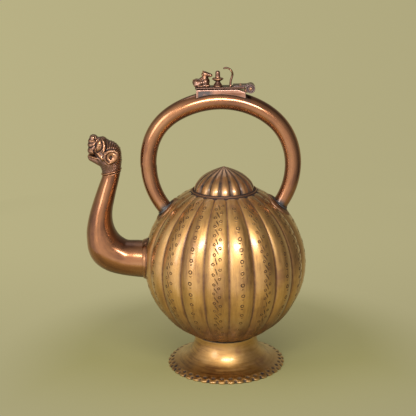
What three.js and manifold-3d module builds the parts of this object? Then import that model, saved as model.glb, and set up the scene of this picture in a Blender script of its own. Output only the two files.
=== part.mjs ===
// Gangajali: a lobed brass ewer for holy water with a lion-headed spout. It is filled through
// its hollow arched handle, under a hinged lid that carries a bull, a linga and a cobra.
// Millimetres, +Z up, origin on the table under the middle of the foot, spout towards -X.

import * as THREE from 'three';
import { mergeVertices } from 'three/addons/utils/BufferGeometryUtils.js';
import Module from 'manifold-3d';

const wasm = await Module();
wasm.setup();

// Gaps between pieces
const solderGap = 0.3;
const lidGap = 0.25;
const knuckleGap = 0.25;
const pinClearance = 0.07;
const weldTolerance = 0.0001;

// Body: two raised halves brazed at the belly
const bodyRadius = 77;
const bodyWall = 1.6;
const bodySeatRadius = 29;
const bodyMouthRadius = 35.5;
const lobeCount = 20;
const lobeDepth = 3.6;
const lobePhase = 0.05;
const columnsPerLobe = 4;

// Foot: a spun trumpet with a crimped rim
const footHeight = 31.5;
const footWall = 1.8;
const footNeckRadius = 29.5;
const footSeatWidth = 5.5;
const footRimRadius = 56.7;
const footLipWidth = 5.7;
const footRimThickness = 4;
const footRimBand = 9;
const scallopCount = 40;
const scallopDepth = 1.6;

// Dome cap and the moulded collar that it is set in
const collarRadius = 34.6;
const collarHeight = 4.4;
const collarLedge = 1.8;
const domeRadius = 28.4;
const domeHeight = 22.8;
const domeWall = 1.6;
const petalCount = 16;
const petalDepth = 1.3;
const petalPhase = 0.24;
const columnsPerPetal = 3;

// Spout: a straight root, an elbow and a riser that leans back towards the body
const spoutRise = 3.6;
const spoutRootRadius = 18.6;
const spoutElbowRadius = 18.3;
const spoutMidRadius = 12.2;
const spoutNeckRadius = 8.8;
const spoutWall = 1.7;
const spoutRootLength = 15.5;
const spoutBendRadius = 25;
const spoutRiserHeight = 57.5;
const spoutLean = 10.9;
const spoutBelly = 25.5;
const flangeRadius = 21.6;
const flangeReach = 2.8;

// Lion head at the spout's mouth, and the band under it
const bandHeight = 3.2;
const bandThickness = 1.2;
const headHeight = 39.2;
const headNeckRadius = 9.2;
const headNapeRadius = 11.6;
const headNapeRise = 13;
const mouthRadius = 3.6;

// Handle: a hollow horseshoe tube that tapers towards its feet
const handleOffset = -2.8;
const handleHalfWidth = 67.4;
const handleWidestRise = 27;
const handleCrownRise = 61;
const handleCrownRadius = 8.9;
const handleFootRadius = 6.8;
const handleWall = 1.5;
const discRadius = 14.3;
const discThickness = 1.8;
const ferruleThickness = 1.5;
const ferruleHeight = 5;

// Filler saddle on the crown
const saddleLength = 45.5;
const saddleWidth = 15;
const saddleRise = 1.6;
const saddleShift = 1;
const saddleCorner = 1.5;
const throatLength = 34;
const throatWidth = 9;

// Lid, its strap and the hinge
const lidLength = 46;
const lidWidth = 13.6;
const lidThickness = 2;
const lidCorner = 2;
const strapLength = 11.2;
const strapThickness = 1.2;
const knuckleRadius = 4.1;
const knuckleSetback = 0.4;
const lugWidth = 4.2;
const lugHeight = 3.6;
const pinRadius = 1.4;
const pinHeadRadius = 2.2;
const pinHeadThickness = 0.8;
const rivetRadius = 1.3;
const rivetHeight = 0.9;
const rivetSpacing = 7;

// Figures on the lid, placed by their distance from the hinge pin
const bullReach = 43.6;
const bullLength = 18.6;
const bullWidth = 9.4;
const bullHeight = 14.2;
const lingaReach = 30;
const pedestalRadius = 4.4;
const pedestalHeight = 8;
const yoniRadius = 5.3;
const lingaRadius = 2.2;
const lingaHeight = 6.3;
const cobraReach = 18.6;
const cobraHeight = 17.3;
const cobraRadius = 0.95;
const cobraHoodWidth = 5.6;
const cobraFootRadius = 2;

// Places worked out from the sizes
const bodyCentre = footHeight + Math.sqrt(bodyRadius ** 2 - bodySeatRadius ** 2);
const bodyTop = bodyCentre + Math.sqrt(bodyRadius ** 2 - bodyMouthRadius ** 2);
const bodyBore = bodyRadius - bodyWall;
const footFlareRadius = footRimRadius - footLipWidth;
const domeSeat = bodyTop + collarLedge;
const spoutHeight = bodyCentre + spoutRise;
const handleCentre = bodyTop + handleWidestRise;
const handleTop = handleCentre + handleCrownRise + handleCrownRadius;
const saddleTop = handleTop + saddleRise;
const saddleRight = handleOffset + saddleLength / 2 + saddleShift;
const hingeX = saddleRight + knuckleSetback + knuckleRadius;
const hingeHeight = saddleTop + lidGap;
const lidRight = -knuckleRadius - 2 * knuckleSetback;

// Finishes
const bodyBrass = { color: 0xb98a4c, roughness: 0.42, metalness: 1 };
const warmBrass = { color: 0x9a6238, roughness: 0.35, metalness: 1 };
const darkBrass = { color: 0x6d4a38, roughness: 0.5, metalness: 1 };
const oldSolder = { color: 0x6a6660, roughness: 0.6, metalness: 0.9 };

// Weld a geometry's points, drop its collapsed triangles and turn its faces outwards.
function closed(geometry) {
  geometry.deleteAttribute('normal');
  geometry.deleteAttribute('uv');
  const welded = mergeVertices(geometry, weldTolerance);
  const corners = welded.getIndex().array;
  const kept = [];
  for (let i = 0; i < corners.length; i += 3) {
    const [a, b, c] = corners.slice(i, i + 3);
    if (a !== b && b !== c && c !== a) kept.push(a, b, c);
  }
  if (volumeOf(welded, kept) < 0) kept.reverse();
  welded.setIndex(kept);
  return welded;
}

function volumeOf(geometry, corners) {
  const [a, b, c] = [0, 1, 2].map(() => new THREE.Vector3());
  const { position } = geometry.attributes;
  let total = 0;
  for (let i = 0; i < corners.length; i += 3) {
    [a, b, c].forEach((point, k) => point.fromBufferAttribute(position, corners[i + k]));
    total += a.dot(b.cross(c)) / 6;
  }
  return total;
}

function solid(geometry) {
  return new wasm.Manifold(new wasm.Mesh({
    numProp: 3,
    vertProperties: new Float32Array(geometry.attributes.position.array),
    triVerts: new Uint32Array(geometry.getIndex().array),
  }));
}

function joined(first, ...rest) {
  return rest.reduce((sum, next) => sum.add(solid(next)), solid(first));
}

function cut(body, ...cutters) {
  return cutters.reduce((left, cutter) => left.subtract(solid(cutter)), body);
}

function geometryOf(body) {
  const mesh = body.getMesh();
  const geometry = new THREE.BufferGeometry();
  geometry.setAttribute('position', new THREE.BufferAttribute(new Float32Array(mesh.vertProperties), 3));
  geometry.setIndex(Array.from(mesh.triVerts));
  return geometry;
}

function piece(name, geometry, finish) {
  geometry.computeVertexNormals();
  const mesh = new THREE.Mesh(geometry, new THREE.MeshStandardMaterial(finish));
  mesh.name = name;
  return mesh;
}

// A profile of [radius, height] points turned about Z. Angles start at -Y and grow towards +X.
function turned(profile, sides, phase = 0, reshape = null) {
  const points = profile.map(([radius, height]) => new THREE.Vector2(radius, height));
  const geometry = new THREE.LatheGeometry(points, sides, phase);
  if (reshape) reshape(geometry.attributes.position);
  return closed(geometry.rotateX(Math.PI / 2));
}

// Draw the lathe's points in at evenly spaced creases; power sets how narrow a crease is.
function creased(count, depthShare, phase, power) {
  return (position) => {
    for (let i = 0; i < position.count; i++) {
      const [x, z] = [position.getX(i), position.getZ(i)];
      const swell = Math.abs(Math.sin((count * (Math.atan2(x, z) - phase)) / 2)) ** power;
      const share = 1 - depthShare * (1 - swell);
      position.setX(i, x * share);
      position.setZ(i, z * share);
    }
  };
}

function arc(radius, height, from, to, steps) {
  const curve = new THREE.EllipseCurve(0, height, radius, radius, from, to, to < from);
  return curve.getPoints(steps).map((point) => [point.x, point.y]);
}

function rod(radius, low, high, sides) {
  return turned([[0, low], [radius, low], [radius, high], [0, high]], sides);
}

function tube(bore, radius, low, high, sides) {
  return turned([[bore, low], [radius, low], [radius, high], [bore, high], [bore, low]], sides);
}

function block(lowX, highX, lowY, highY, lowZ, highZ) {
  const box = new THREE.BoxGeometry(highX - lowX, highY - lowY, highZ - lowZ);
  return closed(box.translate((lowX + highX) / 2, (lowY + highY) / 2, (lowZ + highZ) / 2));
}

function ellipsoid(centre, radii, tilt = 0, sides = 10, rings = 7) {
  const ball = new THREE.SphereGeometry(1, sides, rings).rotateX(Math.PI / 2);
  return closed(ball.scale(...radii).rotateY(tilt).translate(...centre));
}

// A mirrored pair of ellipsoids on both sides of the XZ plane
function ellipsoidPair([x, y, z], radii, tilt = 0) {
  return [-y, y].map((side) => ellipsoid([x, side, z], radii, tilt, 8, 5));
}

function roundedPlate(lowX, highX, width, corner) {
  const half = width / 2;
  const shape = new THREE.Shape();
  shape.absarc(highX - corner, half - corner, corner, 0, Math.PI / 2);
  shape.absarc(lowX + corner, half - corner, corner, Math.PI / 2, Math.PI);
  shape.absarc(lowX + corner, corner - half, corner, Math.PI, 1.5 * Math.PI);
  shape.absarc(highX - corner, corner - half, corner, 1.5 * Math.PI, 2 * Math.PI);
  return shape;
}

function slab(shape, low, high, curveSegments = 4) {
  const options = { depth: high - low, bevelEnabled: false, curveSegments };
  return closed(new THREE.ExtrudeGeometry(shape, options).translate(0, 0, low));
}

// Round sections along a route in the XZ plane. radiusAt(t) gives the outer radius, or a pair
// of radii in and across that plane; boreAt(t), where there is one, hollows the tube.
function alongRoute(route, steps, sides, radiusAt, boreAt = null) {
  const profile = [];
  for (let i = 0; i <= steps; i++) profile.push([1, i]);
  if (boreAt) {
    for (let i = steps; i >= 0; i--) profile.push([0.5, i]);
    profile.push([1, 0]);
  } else {
    profile.unshift([0, 0]);
    profile.push([0, steps]);
  }
  const bend = (position) => {
    for (let i = 0; i < position.count; i++) {
      const [x, y, z] = [position.getX(i), position.getY(i), position.getZ(i)];
      const t = y / steps;
      const reach = Math.hypot(x, z);
      const size = boreAt && reach < 0.75 ? boreAt(t) : radiusAt(t);
      const [within, across] = Array.isArray(size) ? size : [size, size];
      const scale = reach > 0 ? 1 / reach : 0;
      const centre = route.getPoint(t);
      const ahead = route.getTangent(t);
      const out = z * scale * within;
      position.setXYZ(i, centre.x - ahead.y * out, centre.y + ahead.x * out, x * scale * across);
    }
  };
  const points = profile.map(([radius, height]) => new THREE.Vector2(radius, height));
  const geometry = new THREE.LatheGeometry(points, sides);
  bend(geometry.attributes.position);
  return closed(geometry.rotateX(Math.PI / 2));
}

// Sizes at the start, middle places and end of a route, joined by straight lines
function taper(...stations) {
  return (t) => {
    const last = stations.findIndex(([place]) => place >= t);
    if (last <= 0) return stations[0][1];
    const [[fromPlace, fromSize], [toPlace, toSize]] = [stations[last - 1], stations[last]];
    return THREE.MathUtils.lerp(fromSize, toSize, (t - fromPlace) / (toPlace - fromPlace));
  };
}

// The lobed outside of the body as a full solid, grown by the solder gap, to fit pieces to it
const lobeShare = lobeDepth / bodyRadius;
const lobes = creased(lobeCount, lobeShare, lobePhase, 0.9);
const bodyColumns = lobeCount * columnsPerLobe;

function bodyEnvelope(gap) {
  const outline = arc(bodyRadius + gap, bodyCentre, -Math.PI / 2, Math.PI / 2, 24);
  outline[0][0] = 0;
  outline[outline.length - 1][0] = 0;
  return turned(outline, bodyColumns, lobePhase, lobes);
}

function ball(radius) {
  return ellipsoid([0, 0, bodyCentre], [radius, radius, radius], 0, 48, 24);
}

// Body halves
function lowerHalf() {
  const floor = footHeight + bodyWall;
  const seatAngle = -Math.acos(bodySeatRadius / bodyRadius);
  const floorAngle = -Math.asin((bodyCentre - floor) / bodyBore);
  const profile = [
    [0, footHeight],
    ...arc(bodyRadius, bodyCentre, seatAngle, 0, 6),
    ...arc(bodyBore, bodyCentre, 0, floorAngle, 3),
    [0, floor],
  ];
  return turned(profile, bodyColumns, lobePhase, lobes);
}

function upperHalf() {
  const mouthAngle = Math.acos(bodyMouthRadius / bodyRadius);
  const boreAngle = Math.asin((bodyTop - bodyCentre) / bodyBore);
  const profile = [
    ...arc(bodyRadius, bodyCentre, 0, mouthAngle, 6),
    ...arc(bodyBore, bodyCentre, boreAngle, 0, 3),
    [bodyRadius, bodyCentre],
  ];
  return turned(profile, bodyColumns, lobePhase, lobes);
}

// Foot
function foot() {
  const flare = new THREE.CubicBezierCurve(
    new THREE.Vector2(footNeckRadius, footHeight),
    new THREE.Vector2(footNeckRadius, footHeight * 0.55),
    new THREE.Vector2(THREE.MathUtils.lerp(footNeckRadius, footFlareRadius, 0.37), footRimThickness * 1.75),
    new THREE.Vector2(footFlareRadius, footRimThickness),
  );
  const steps = 5;
  const outside = [];
  const inside = [];
  for (let i = 0; i <= steps; i++) {
    const point = flare.getPoint(i / steps);
    const along = flare.getTangent(i / steps);
    outside.push([point.x, point.y]);
    inside.unshift([point.x + along.y * footWall, Math.max(0, point.y - along.x * footWall)]);
  }
  const rimBore = footRimRadius - footRimBand;
  const seatBore = bodySeatRadius - footSeatWidth;
  const trumpet = turned([
    ...outside,
    [footFlareRadius, 0],
    [rimBore, 0],
    ...inside.filter(([radius, height]) => radius < rimBore && height < footHeight - footWall),
    [footNeckRadius - footWall, footHeight - footWall],
    [seatBore, footHeight - footWall],
    [seatBore, footHeight],
    [footNeckRadius, footHeight],
  ], 36);
  return geometryOf(joined(trumpet, scallopedRim(rimBore)));
}

function scallopedRim(bore) {
  const pointsPerScallop = 3;
  const count = scallopCount * pointsPerScallop;
  const outline = [];
  for (let i = 0; i < count; i++) {
    const angle = (2 * Math.PI * i) / count;
    const swell = Math.abs(Math.sin((scallopCount * angle) / 2));
    const radius = footRimRadius - scallopDepth * (1 - swell);
    outline.push(new THREE.Vector2(radius * Math.cos(angle), radius * Math.sin(angle)));
  }
  const shape = new THREE.Shape(outline);
  shape.holes.push(new THREE.Path().absarc(0, 0, bore + solderGap, 0, 2 * Math.PI, true));
  return slab(shape, 0, footRimThickness, 20);
}

// Collar and dome
function domeCollar() {
  const bore = domeRadius - domeWall * 1.5;
  const pocket = domeRadius + solderGap;
  const roll = (collarRadius - pocket) / 2;
  const rollHeight = bodyTop + collarHeight - roll;
  const crown = new THREE.EllipseCurve(pocket + roll, rollHeight, roll, roll, 0, Math.PI);
  const profile = [
    [bore, bodyTop],
    [collarRadius, bodyTop],
    ...crown.getPoints(4).map((point) => [point.x, point.y]),
    [pocket, domeSeat],
    [bore, domeSeat],
    [bore, bodyTop],
  ];
  return turned(profile, 40);
}

function domeCap() {
  const shell = (radius, height, base) => new THREE.CubicBezierCurve(
    new THREE.Vector2(radius, base),
    new THREE.Vector2(radius, base + height * 0.5),
    new THREE.Vector2(radius * 0.5, base + height * 0.8),
    new THREE.Vector2(0, base + height),
  ).getPoints(5).map((point) => [point.x, point.y]);
  const profile = [
    ...shell(domeRadius, domeHeight, domeSeat),
    ...shell(domeRadius - domeWall, domeHeight - domeWall, domeSeat).reverse(),
    [domeRadius, domeSeat],
  ];
  const petals = creased(petalCount, petalDepth / domeRadius, petalPhase, 0.5);
  return turned(profile, petalCount * columnsPerPetal, petalPhase, petals);
}

// Spout
const spoutStart = -(bodyRadius - lobeDepth - bodyWall);
const elbowStart = -(bodyRadius + spoutRootLength);
const riserX = elbowStart - spoutBendRadius;
const riserFoot = spoutHeight + spoutBendRadius;
const neckX = riserX + spoutLean;
const neckHeight = riserFoot + spoutRiserHeight;
const neckTilt = Math.atan2(spoutLean, spoutRiserHeight - spoutBelly);
const neckAhead = new THREE.Vector2(Math.sin(neckTilt), Math.cos(neckTilt));

const spoutRoute = new THREE.Path()
  .moveTo(spoutStart, spoutHeight)
  .lineTo(elbowStart, spoutHeight)
  .absarc(elbowStart, riserFoot, spoutBendRadius, -Math.PI / 2, -Math.PI, true)
  .quadraticCurveTo(riserX, riserFoot + spoutBelly, neckX, neckHeight);

function spoutRadiusAt(less) {
  const [rootEnd, elbowEnd, total] = spoutRoute.getCurveLengths();
  return taper(
    [0, spoutRootRadius - less],
    [(rootEnd + elbowEnd) / 2 / total, spoutElbowRadius - less],
    [(elbowEnd + (total - elbowEnd) * 0.32) / total, spoutMidRadius - less],
    [1, spoutNeckRadius - less],
  );
}

function spoutTube(envelope) {
  const shell = alongRoute(spoutRoute, 18, 16, spoutRadiusAt(0), spoutRadiusAt(spoutWall));
  return geometryOf(cut(solid(shell), envelope));
}

function spoutFlange(envelope) {
  const ring = tube(spoutRootRadius + solderGap, flangeRadius, -spoutStart, bodyRadius + flangeReach, 28);
  const placed = closed(ring.rotateY(-Math.PI / 2).translate(0, 0, spoutHeight));
  return geometryOf(cut(solid(placed), envelope));
}

function spoutHole() {
  const hole = rod(spoutRootRadius - 2 * spoutWall, bodyRadius / 2, bodyRadius + 1, 24);
  return closed(hole.rotateY(-Math.PI / 2).translate(0, 0, spoutHeight));
}

function neckBand() {
  const bore = spoutNeckRadius + solderGap * 2;
  const half = bandHeight / 2;
  const profile = [
    [bore, -half],
    [bore + bandThickness * 0.6, -half],
    [bore + bandThickness, 0],
    [bore + bandThickness * 0.6, half],
    [bore, half],
    [bore, -half],
  ];
  return turned(profile, 24);
}

// Lion head, in the spout's own plane with its origin at the end of the spout. Its forms are
// drawn one unit high and sized by the height of the head.
function lionForm(centre, radii, tilt = 0, sides = 10, rings = 7) {
  return ellipsoid(centre, radii, tilt, sides, rings).scale(headHeight, headHeight, headHeight);
}

function lionPair([x, y, z], radii, tilt) {
  return [-y, y].map((side) => lionForm([x, side, z], radii, tilt, 8, 5));
}

function lionPassage() {
  const inHead = (x, z) => new THREE.Vector2(x, z).multiplyScalar(headHeight);
  const route = new THREE.SplineCurve([
    neckAhead.clone().multiplyScalar(-0.06 * headHeight),
    neckAhead.clone().multiplyScalar(0.11 * headHeight),
    inHead(-0.115, 0.446),
    inHead(-0.357, 0.515),
    inHead(-0.689, 0.52),
  ]);
  const narrowing = taper([0, spoutNeckRadius - spoutWall], [0.55, mouthRadius], [1, mouthRadius]);
  return alongRoute(route, 10, 10, narrowing);
}

function lionHead() {
  const nape = new THREE.QuadraticBezierCurve(
    neckAhead.clone().multiplyScalar(solderGap),
    neckAhead.clone().multiplyScalar(headNapeRise / 2),
    new THREE.Vector2(headNapeRise * 0.03, headNapeRise),
  );
  const swell = taper([0, spoutNeckRadius], [0.35, headNeckRadius], [1, headNapeRadius]);
  const neck = alongRoute(nape, 4, 16, swell);
  const skull = lionForm([-0.074, 0, 0.536], [0.337, 0.311, 0.337], 0, 14, 9);
  const brow = lionForm([-0.194, 0, 0.724], [0.184, 0.24, 0.214]);
  const muzzle = lionForm([-0.337, 0, 0.714], [0.189, 0.209, 0.24]);
  const nose = lionForm([-0.372, 0, 0.929], [0.107, 0.117, 0.071]);
  const jaw = lionForm([-0.367, 0, 0.439], [0.189, 0.173, 0.084], 0.25);
  const eyes = lionPair([-0.255, 0.219, 0.74], [0.066, 0.066, 0.133], 0.2);
  const ears = lionPair([0.01, 0.262, 0.467], [0.163, 0.077, 0.173], 0.3);
  const forms = joined(neck, skull, brow, muzzle, nose, jaw, ...eyes, ...ears);
  const lips = block(-0.75, -0.33, -0.5, 0.5, 0.5, 0.54).scale(headHeight, headHeight, headHeight);
  return geometryOf(cut(forms, lionPassage(), lips));
}

// Handle. It meets the body where its lower circle crosses the body's.
function handleFootAngle(side) {
  const rise = handleCentre - bodyCentre;
  const apart = Math.hypot(handleOffset, rise);
  const along = (bodyRadius ** 2 - handleHalfWidth ** 2 + apart ** 2) / (2 * apart);
  const aside = side * Math.sqrt(bodyRadius ** 2 - along ** 2);
  const [dirX, dirZ] = [handleOffset / apart, rise / apart];
  const x = dirX * along + dirZ * aside;
  const z = dirZ * along - dirX * aside;
  return Math.atan2(z - rise, x - handleOffset);
}

const rightFoot = handleFootAngle(1);
const leftFoot = handleFootAngle(-1) + 2 * Math.PI;
const handleTuck = (1.3 * handleFootRadius) / handleHalfWidth;

const handleRoute = new THREE.Path()
  .absarc(handleOffset, handleCentre, handleHalfWidth, leftFoot + handleTuck, Math.PI, true)
  .absellipse(handleOffset, handleCentre, handleHalfWidth, handleCrownRise, Math.PI, 0, true, 0)
  .absarc(handleOffset, handleCentre, handleHalfWidth, 0, rightFoot - handleTuck, true);

function handleRadiusAt(more) {
  return taper([0, handleFootRadius + more], [0.5, handleCrownRadius + more], [1, handleFootRadius + more]);
}

function handleSolid(more) {
  return alongRoute(handleRoute, 28, 12, handleRadiusAt(more));
}

function handleTube(envelope) {
  const shell = alongRoute(handleRoute, 28, 12, handleRadiusAt(0), handleRadiusAt(-handleWall));
  return geometryOf(cut(solid(shell), envelope, throat(handleTop - handleCrownRadius, handleTop + 1)));
}

// A route straight out of the body at a foot of the handle
function footRoute(angle, low, high) {
  const base = new THREE.Vector2(Math.cos(angle), Math.sin(angle)).multiplyScalar(handleHalfWidth);
  base.add(new THREE.Vector2(handleOffset, handleCentre));
  const out = new THREE.Vector2(Math.sin(angle), -Math.cos(angle));
  if (out.y < 0) out.negate();
  return new THREE.LineCurve(
    base.clone().addScaledVector(out, low),
    base.clone().addScaledVector(out, high),
  );
}

function handleHole(angle) {
  const route = footRoute(angle, -discRadius, discRadius / 2);
  return alongRoute(route, 1, 12, () => handleFootRadius - handleWall);
}

function handleDisc(angle, handleSleeve) {
  const plug = alongRoute(footRoute(angle, -discRadius, discRadius), 1, 24, () => discRadius);
  const dished = solid(plug).intersect(solid(ball(bodyRadius + solderGap + discThickness)));
  return geometryOf(cut(dished, ball(bodyRadius + solderGap), handleSleeve));
}

function handleFerrule(angle, handleSleeve) {
  const radius = handleFootRadius + solderGap + ferruleThickness;
  const plug = alongRoute(footRoute(angle, -discRadius, discThickness + ferruleHeight), 1, 16, () => radius);
  return geometryOf(cut(solid(plug), ball(bodyRadius + 2 * solderGap + discThickness), handleSleeve));
}

// Filler saddle on the crown, with its throat
const saddleLeft = saddleRight - saddleLength;

function throat(low, high) {
  const middle = (saddleLeft + saddleRight) / 2;
  const half = throatLength / 2;
  return slab(roundedPlate(middle - half, middle + half, throatWidth, throatWidth * 0.49), low, high);
}

function fillerSaddle(handleSleeve) {
  const outline = roundedPlate(saddleLeft, saddleRight, saddleWidth, saddleCorner);
  const blank = slab(outline, handleTop - handleCrownRadius * 1.2, saddleTop, 2);
  const opening = throat(handleTop - 2 * handleCrownRadius, saddleTop + 1);
  return geometryOf(cut(solid(blank), handleSleeve, opening));
}

// Hinge, in the lid's own frame: the pin lies along Y through the origin
function cross(geometry) {
  return closed(geometry.rotateX(Math.PI / 2));
}

const pinBore = pinRadius + pinClearance;
const halfLug = lugWidth / 2;

function hingeLug() {
  const eye = cross(rod(knuckleRadius, -halfLug, halfLug, 24));
  const root = saddleRight - hingeX;
  const tongue = block(root, 0, -halfLug, halfLug, -lugHeight, -lugHeight / 6);
  const hole = cross(rod(pinBore, -lugWidth, lugWidth, 24));
  return geometryOf(cut(joined(eye, tongue), hole));
}

function hingePin() {
  const half = lidWidth / 2;
  const head = half + knuckleGap;
  const tip = head + pinHeadThickness;
  return cross(turned([
    [0, -tip],
    [pinHeadRadius * 0.7, -tip],
    [pinHeadRadius, -head],
    [pinRadius, -head],
    [pinRadius, head],
    [pinHeadRadius, head],
    [pinHeadRadius * 0.7, tip],
    [0, tip],
  ], 24));
}

// Lid pieces
const lidBottom = saddleTop + lidGap - hingeHeight;
const lidTop = lidBottom + lidThickness;
const strapTop = lidTop + strapThickness;
const strapLeft = lidRight - strapLength;

function lidPlate() {
  return slab(roundedPlate(lidRight - lidLength, lidRight, lidWidth, lidCorner), lidBottom, lidTop);
}

function hingeStrap() {
  const half = lidWidth / 2;
  const eyes = cross(rod(knuckleRadius, -half, half, 24));
  const leaf = block(strapLeft, 0, -half, half, lidTop, strapTop);
  const hole = cross(rod(pinBore, -lidWidth, lidWidth, 24));
  const notchHalf = halfLug + knuckleGap;
  const notchLeft = -knuckleRadius - knuckleSetback;
  const clear = 2 * knuckleRadius;
  const notch = block(notchLeft, clear, -notchHalf, notchHalf, -clear, clear);
  return geometryOf(cut(joined(eyes, leaf), hole, notch));
}

function strapRivet() {
  return turned([
    [0, strapTop],
    [rivetRadius, strapTop],
    [rivetRadius * 0.8, strapTop + rivetHeight * 0.65],
    [0, strapTop + rivetHeight],
  ], 12);
}

// Reclining bull, drawn one unit long, wide and high, facing the hinge, and sized afterwards
function bull() {
  const trunk = ellipsoid([-0.13, 0, 0.24], [0.37, 0.4, 0.3]);
  const haunches = ellipsoidPair([-0.33, 0.24, 0.15], [0.16, 0.22, 0.2]);
  const chest = ellipsoid([0.22, 0, 0.28], [0.17, 0.36, 0.32]);
  const hump = ellipsoid([0.02, 0, 0.58], [0.11, 0.22, 0.13]);
  const neck = ellipsoid([0.2, 0, 0.58], [0.14, 0.27, 0.28], 0.35);
  const skull = ellipsoid([0.24, 0, 0.8], [0.16, 0.28, 0.17], 0.3);
  const muzzle = ellipsoid([0.4, 0, 0.68], [0.1, 0.19, 0.12], 0.5);
  const ears = ellipsoidPair([0.11, 0.33, 0.8], [0.06, 0.17, 0.06]);
  const horns = ellipsoidPair([0.13, 0.2, 0.93], [0.05, 0.09, 0.08]);
  const forelegs = ellipsoidPair([0.28, 0.27, 0.08], [0.2, 0.14, 0.1]);
  const limbs = [...haunches, ...ears, ...horns, ...forelegs];
  const forms = joined(trunk, chest, hump, neck, skull, muzzle, ...limbs);
  const floor = block(-1, 1, -1, 1, -1, 0);
  const figure = geometryOf(cut(forms, floor));
  return figure.scale(bullLength, bullWidth, bullHeight).translate(-bullReach, 0, lidTop);
}

function yoniPedestal() {
  const lip = lidTop + pedestalHeight;
  return turned([
    [0, lidTop],
    [pedestalRadius, lidTop],
    [pedestalRadius * 0.92, lidTop + pedestalHeight * 0.14],
    [pedestalRadius * 0.54, lidTop + pedestalHeight * 0.45],
    [pedestalRadius * 0.6, lidTop + pedestalHeight * 0.6],
    [yoniRadius, lip - pedestalHeight * 0.2],
    [yoniRadius, lip - pedestalHeight * 0.06],
    [yoniRadius * 0.86, lip],
    [0, lip],
  ], 24).translate(-lingaReach, 0, 0);
}

function linga() {
  const seat = lidTop + pedestalHeight;
  const shoulder = seat + lingaHeight - lingaRadius;
  const rounding = arc(lingaRadius, shoulder, 0, Math.PI / 2, 5);
  rounding[rounding.length - 1][0] = 0;
  return turned([[0, seat], [lingaRadius, seat], ...rounding], 20).translate(-lingaReach, 0, 0);
}

// Rearing cobra that bends its hood over the linga
function cobra() {
  const bend = (x, z) => new THREE.Vector2(x * cobraHeight - cobraReach, lidTop + z * cobraHeight);
  const route = new THREE.SplineCurve([
    bend(0, 0.03),
    bend(0.023, 0.22),
    bend(0.081, 0.44),
    bend(0.145, 0.64),
    bend(0.121, 0.82),
    bend(0.006, 0.94),
    bend(-0.15, 0.95),
    bend(-0.3, 0.9),
    bend(-0.405, 0.89),
  ]);
  const hood = cobraHoodWidth / 2;
  const snout = cobraRadius / 2;
  const across = taper(
    [0, cobraRadius],
    [0.35, cobraRadius],
    [0.6, hood],
    [0.78, hood * 0.8],
    [0.9, cobraRadius],
    [1, snout],
  );
  const within = taper([0, cobraRadius], [0.9, cobraRadius * 0.85], [1, snout]);
  const snake = alongRoute(route, 18, 8, (t) => [within(t), across(t)]);
  const coil = turned([
    [0, lidTop],
    [cobraFootRadius, lidTop],
    [cobraFootRadius * 0.7, lidTop + cobraRadius * 1.4],
    [0, lidTop + cobraRadius * 1.4],
  ], 16).translate(-cobraReach, 0, 0);
  return geometryOf(joined(snake, coil));
}

// Assembly
const envelope = bodyEnvelope(solderGap);
const handleSleeve = handleSolid(solderGap);
const spoutBore = spoutHole();
const upper = cut(solid(upperHalf()), spoutBore, handleHole(leftFoot), handleHole(rightFoot));

const vessel = new THREE.Group();
vessel.add(
  piece('body_lower_half', geometryOf(cut(solid(lowerHalf()), spoutBore)), bodyBrass),
  piece('body_upper_half', geometryOf(upper), bodyBrass),
  piece('foot', foot(), bodyBrass),
  piece('dome_collar', domeCollar(), bodyBrass),
  piece('dome_cap', domeCap(), bodyBrass),
  piece('spout_tube', spoutTube(envelope), warmBrass),
  piece('spout_flange', spoutFlange(envelope), warmBrass),
  piece('handle_tube', handleTube(envelope), warmBrass),
  piece('handle_disc_left', handleDisc(leftFoot, handleSleeve), bodyBrass),
  piece('handle_disc_right', handleDisc(rightFoot, handleSleeve), bodyBrass),
  piece('handle_ferrule_left', handleFerrule(leftFoot, handleSleeve), oldSolder),
  piece('handle_ferrule_right', handleFerrule(rightFoot, handleSleeve), oldSolder),
  piece('filler_saddle', fillerSaddle(handleSleeve), warmBrass),
);

const head = new THREE.Group();
head.position.set(neckX, 0, neckHeight);
const band = piece('spout_neck_band', neckBand(), darkBrass);
band.rotation.y = neckTilt;
head.add(band, piece('spout_head', lionHead(), darkBrass));

const hinge = new THREE.Group();
hinge.position.set(hingeX, 0, hingeHeight);
hinge.add(
  piece('saddle_hinge_lug', hingeLug(), darkBrass),
  piece('hinge_pin', hingePin(), darkBrass),
);

const lid = new THREE.Group();
lid.position.copy(hinge.position);
lid.add(
  piece('lid_plate', lidPlate(), warmBrass),
  piece('lid_hinge_strap', hingeStrap(), oldSolder),
  piece('nandi_bull', bull(), darkBrass),
  piece('yoni_pedestal', yoniPedestal(), darkBrass),
  piece('linga', linga(), darkBrass),
  piece('cobra', cobra(), darkBrass),
);
[['strap_rivet_front', -1], ['strap_rivet_back', 1]].forEach(([name, side]) => {
  const rivet = piece(name, strapRivet(), darkBrass);
  rivet.position.set(strapLeft + strapLength * 0.6, (side * rivetSpacing) / 2, 0);
  lid.add(rivet);
});

const ewer = new THREE.Group();
ewer.add(vessel, head, hinge, lid);

export default ewer;
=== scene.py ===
"""Dresses the gangajali, a lobed ewer with a lion spout and a lidded handle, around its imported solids."""

import math

import bpy
import numpy as np
from mathutils import Matrix, Vector


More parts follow.
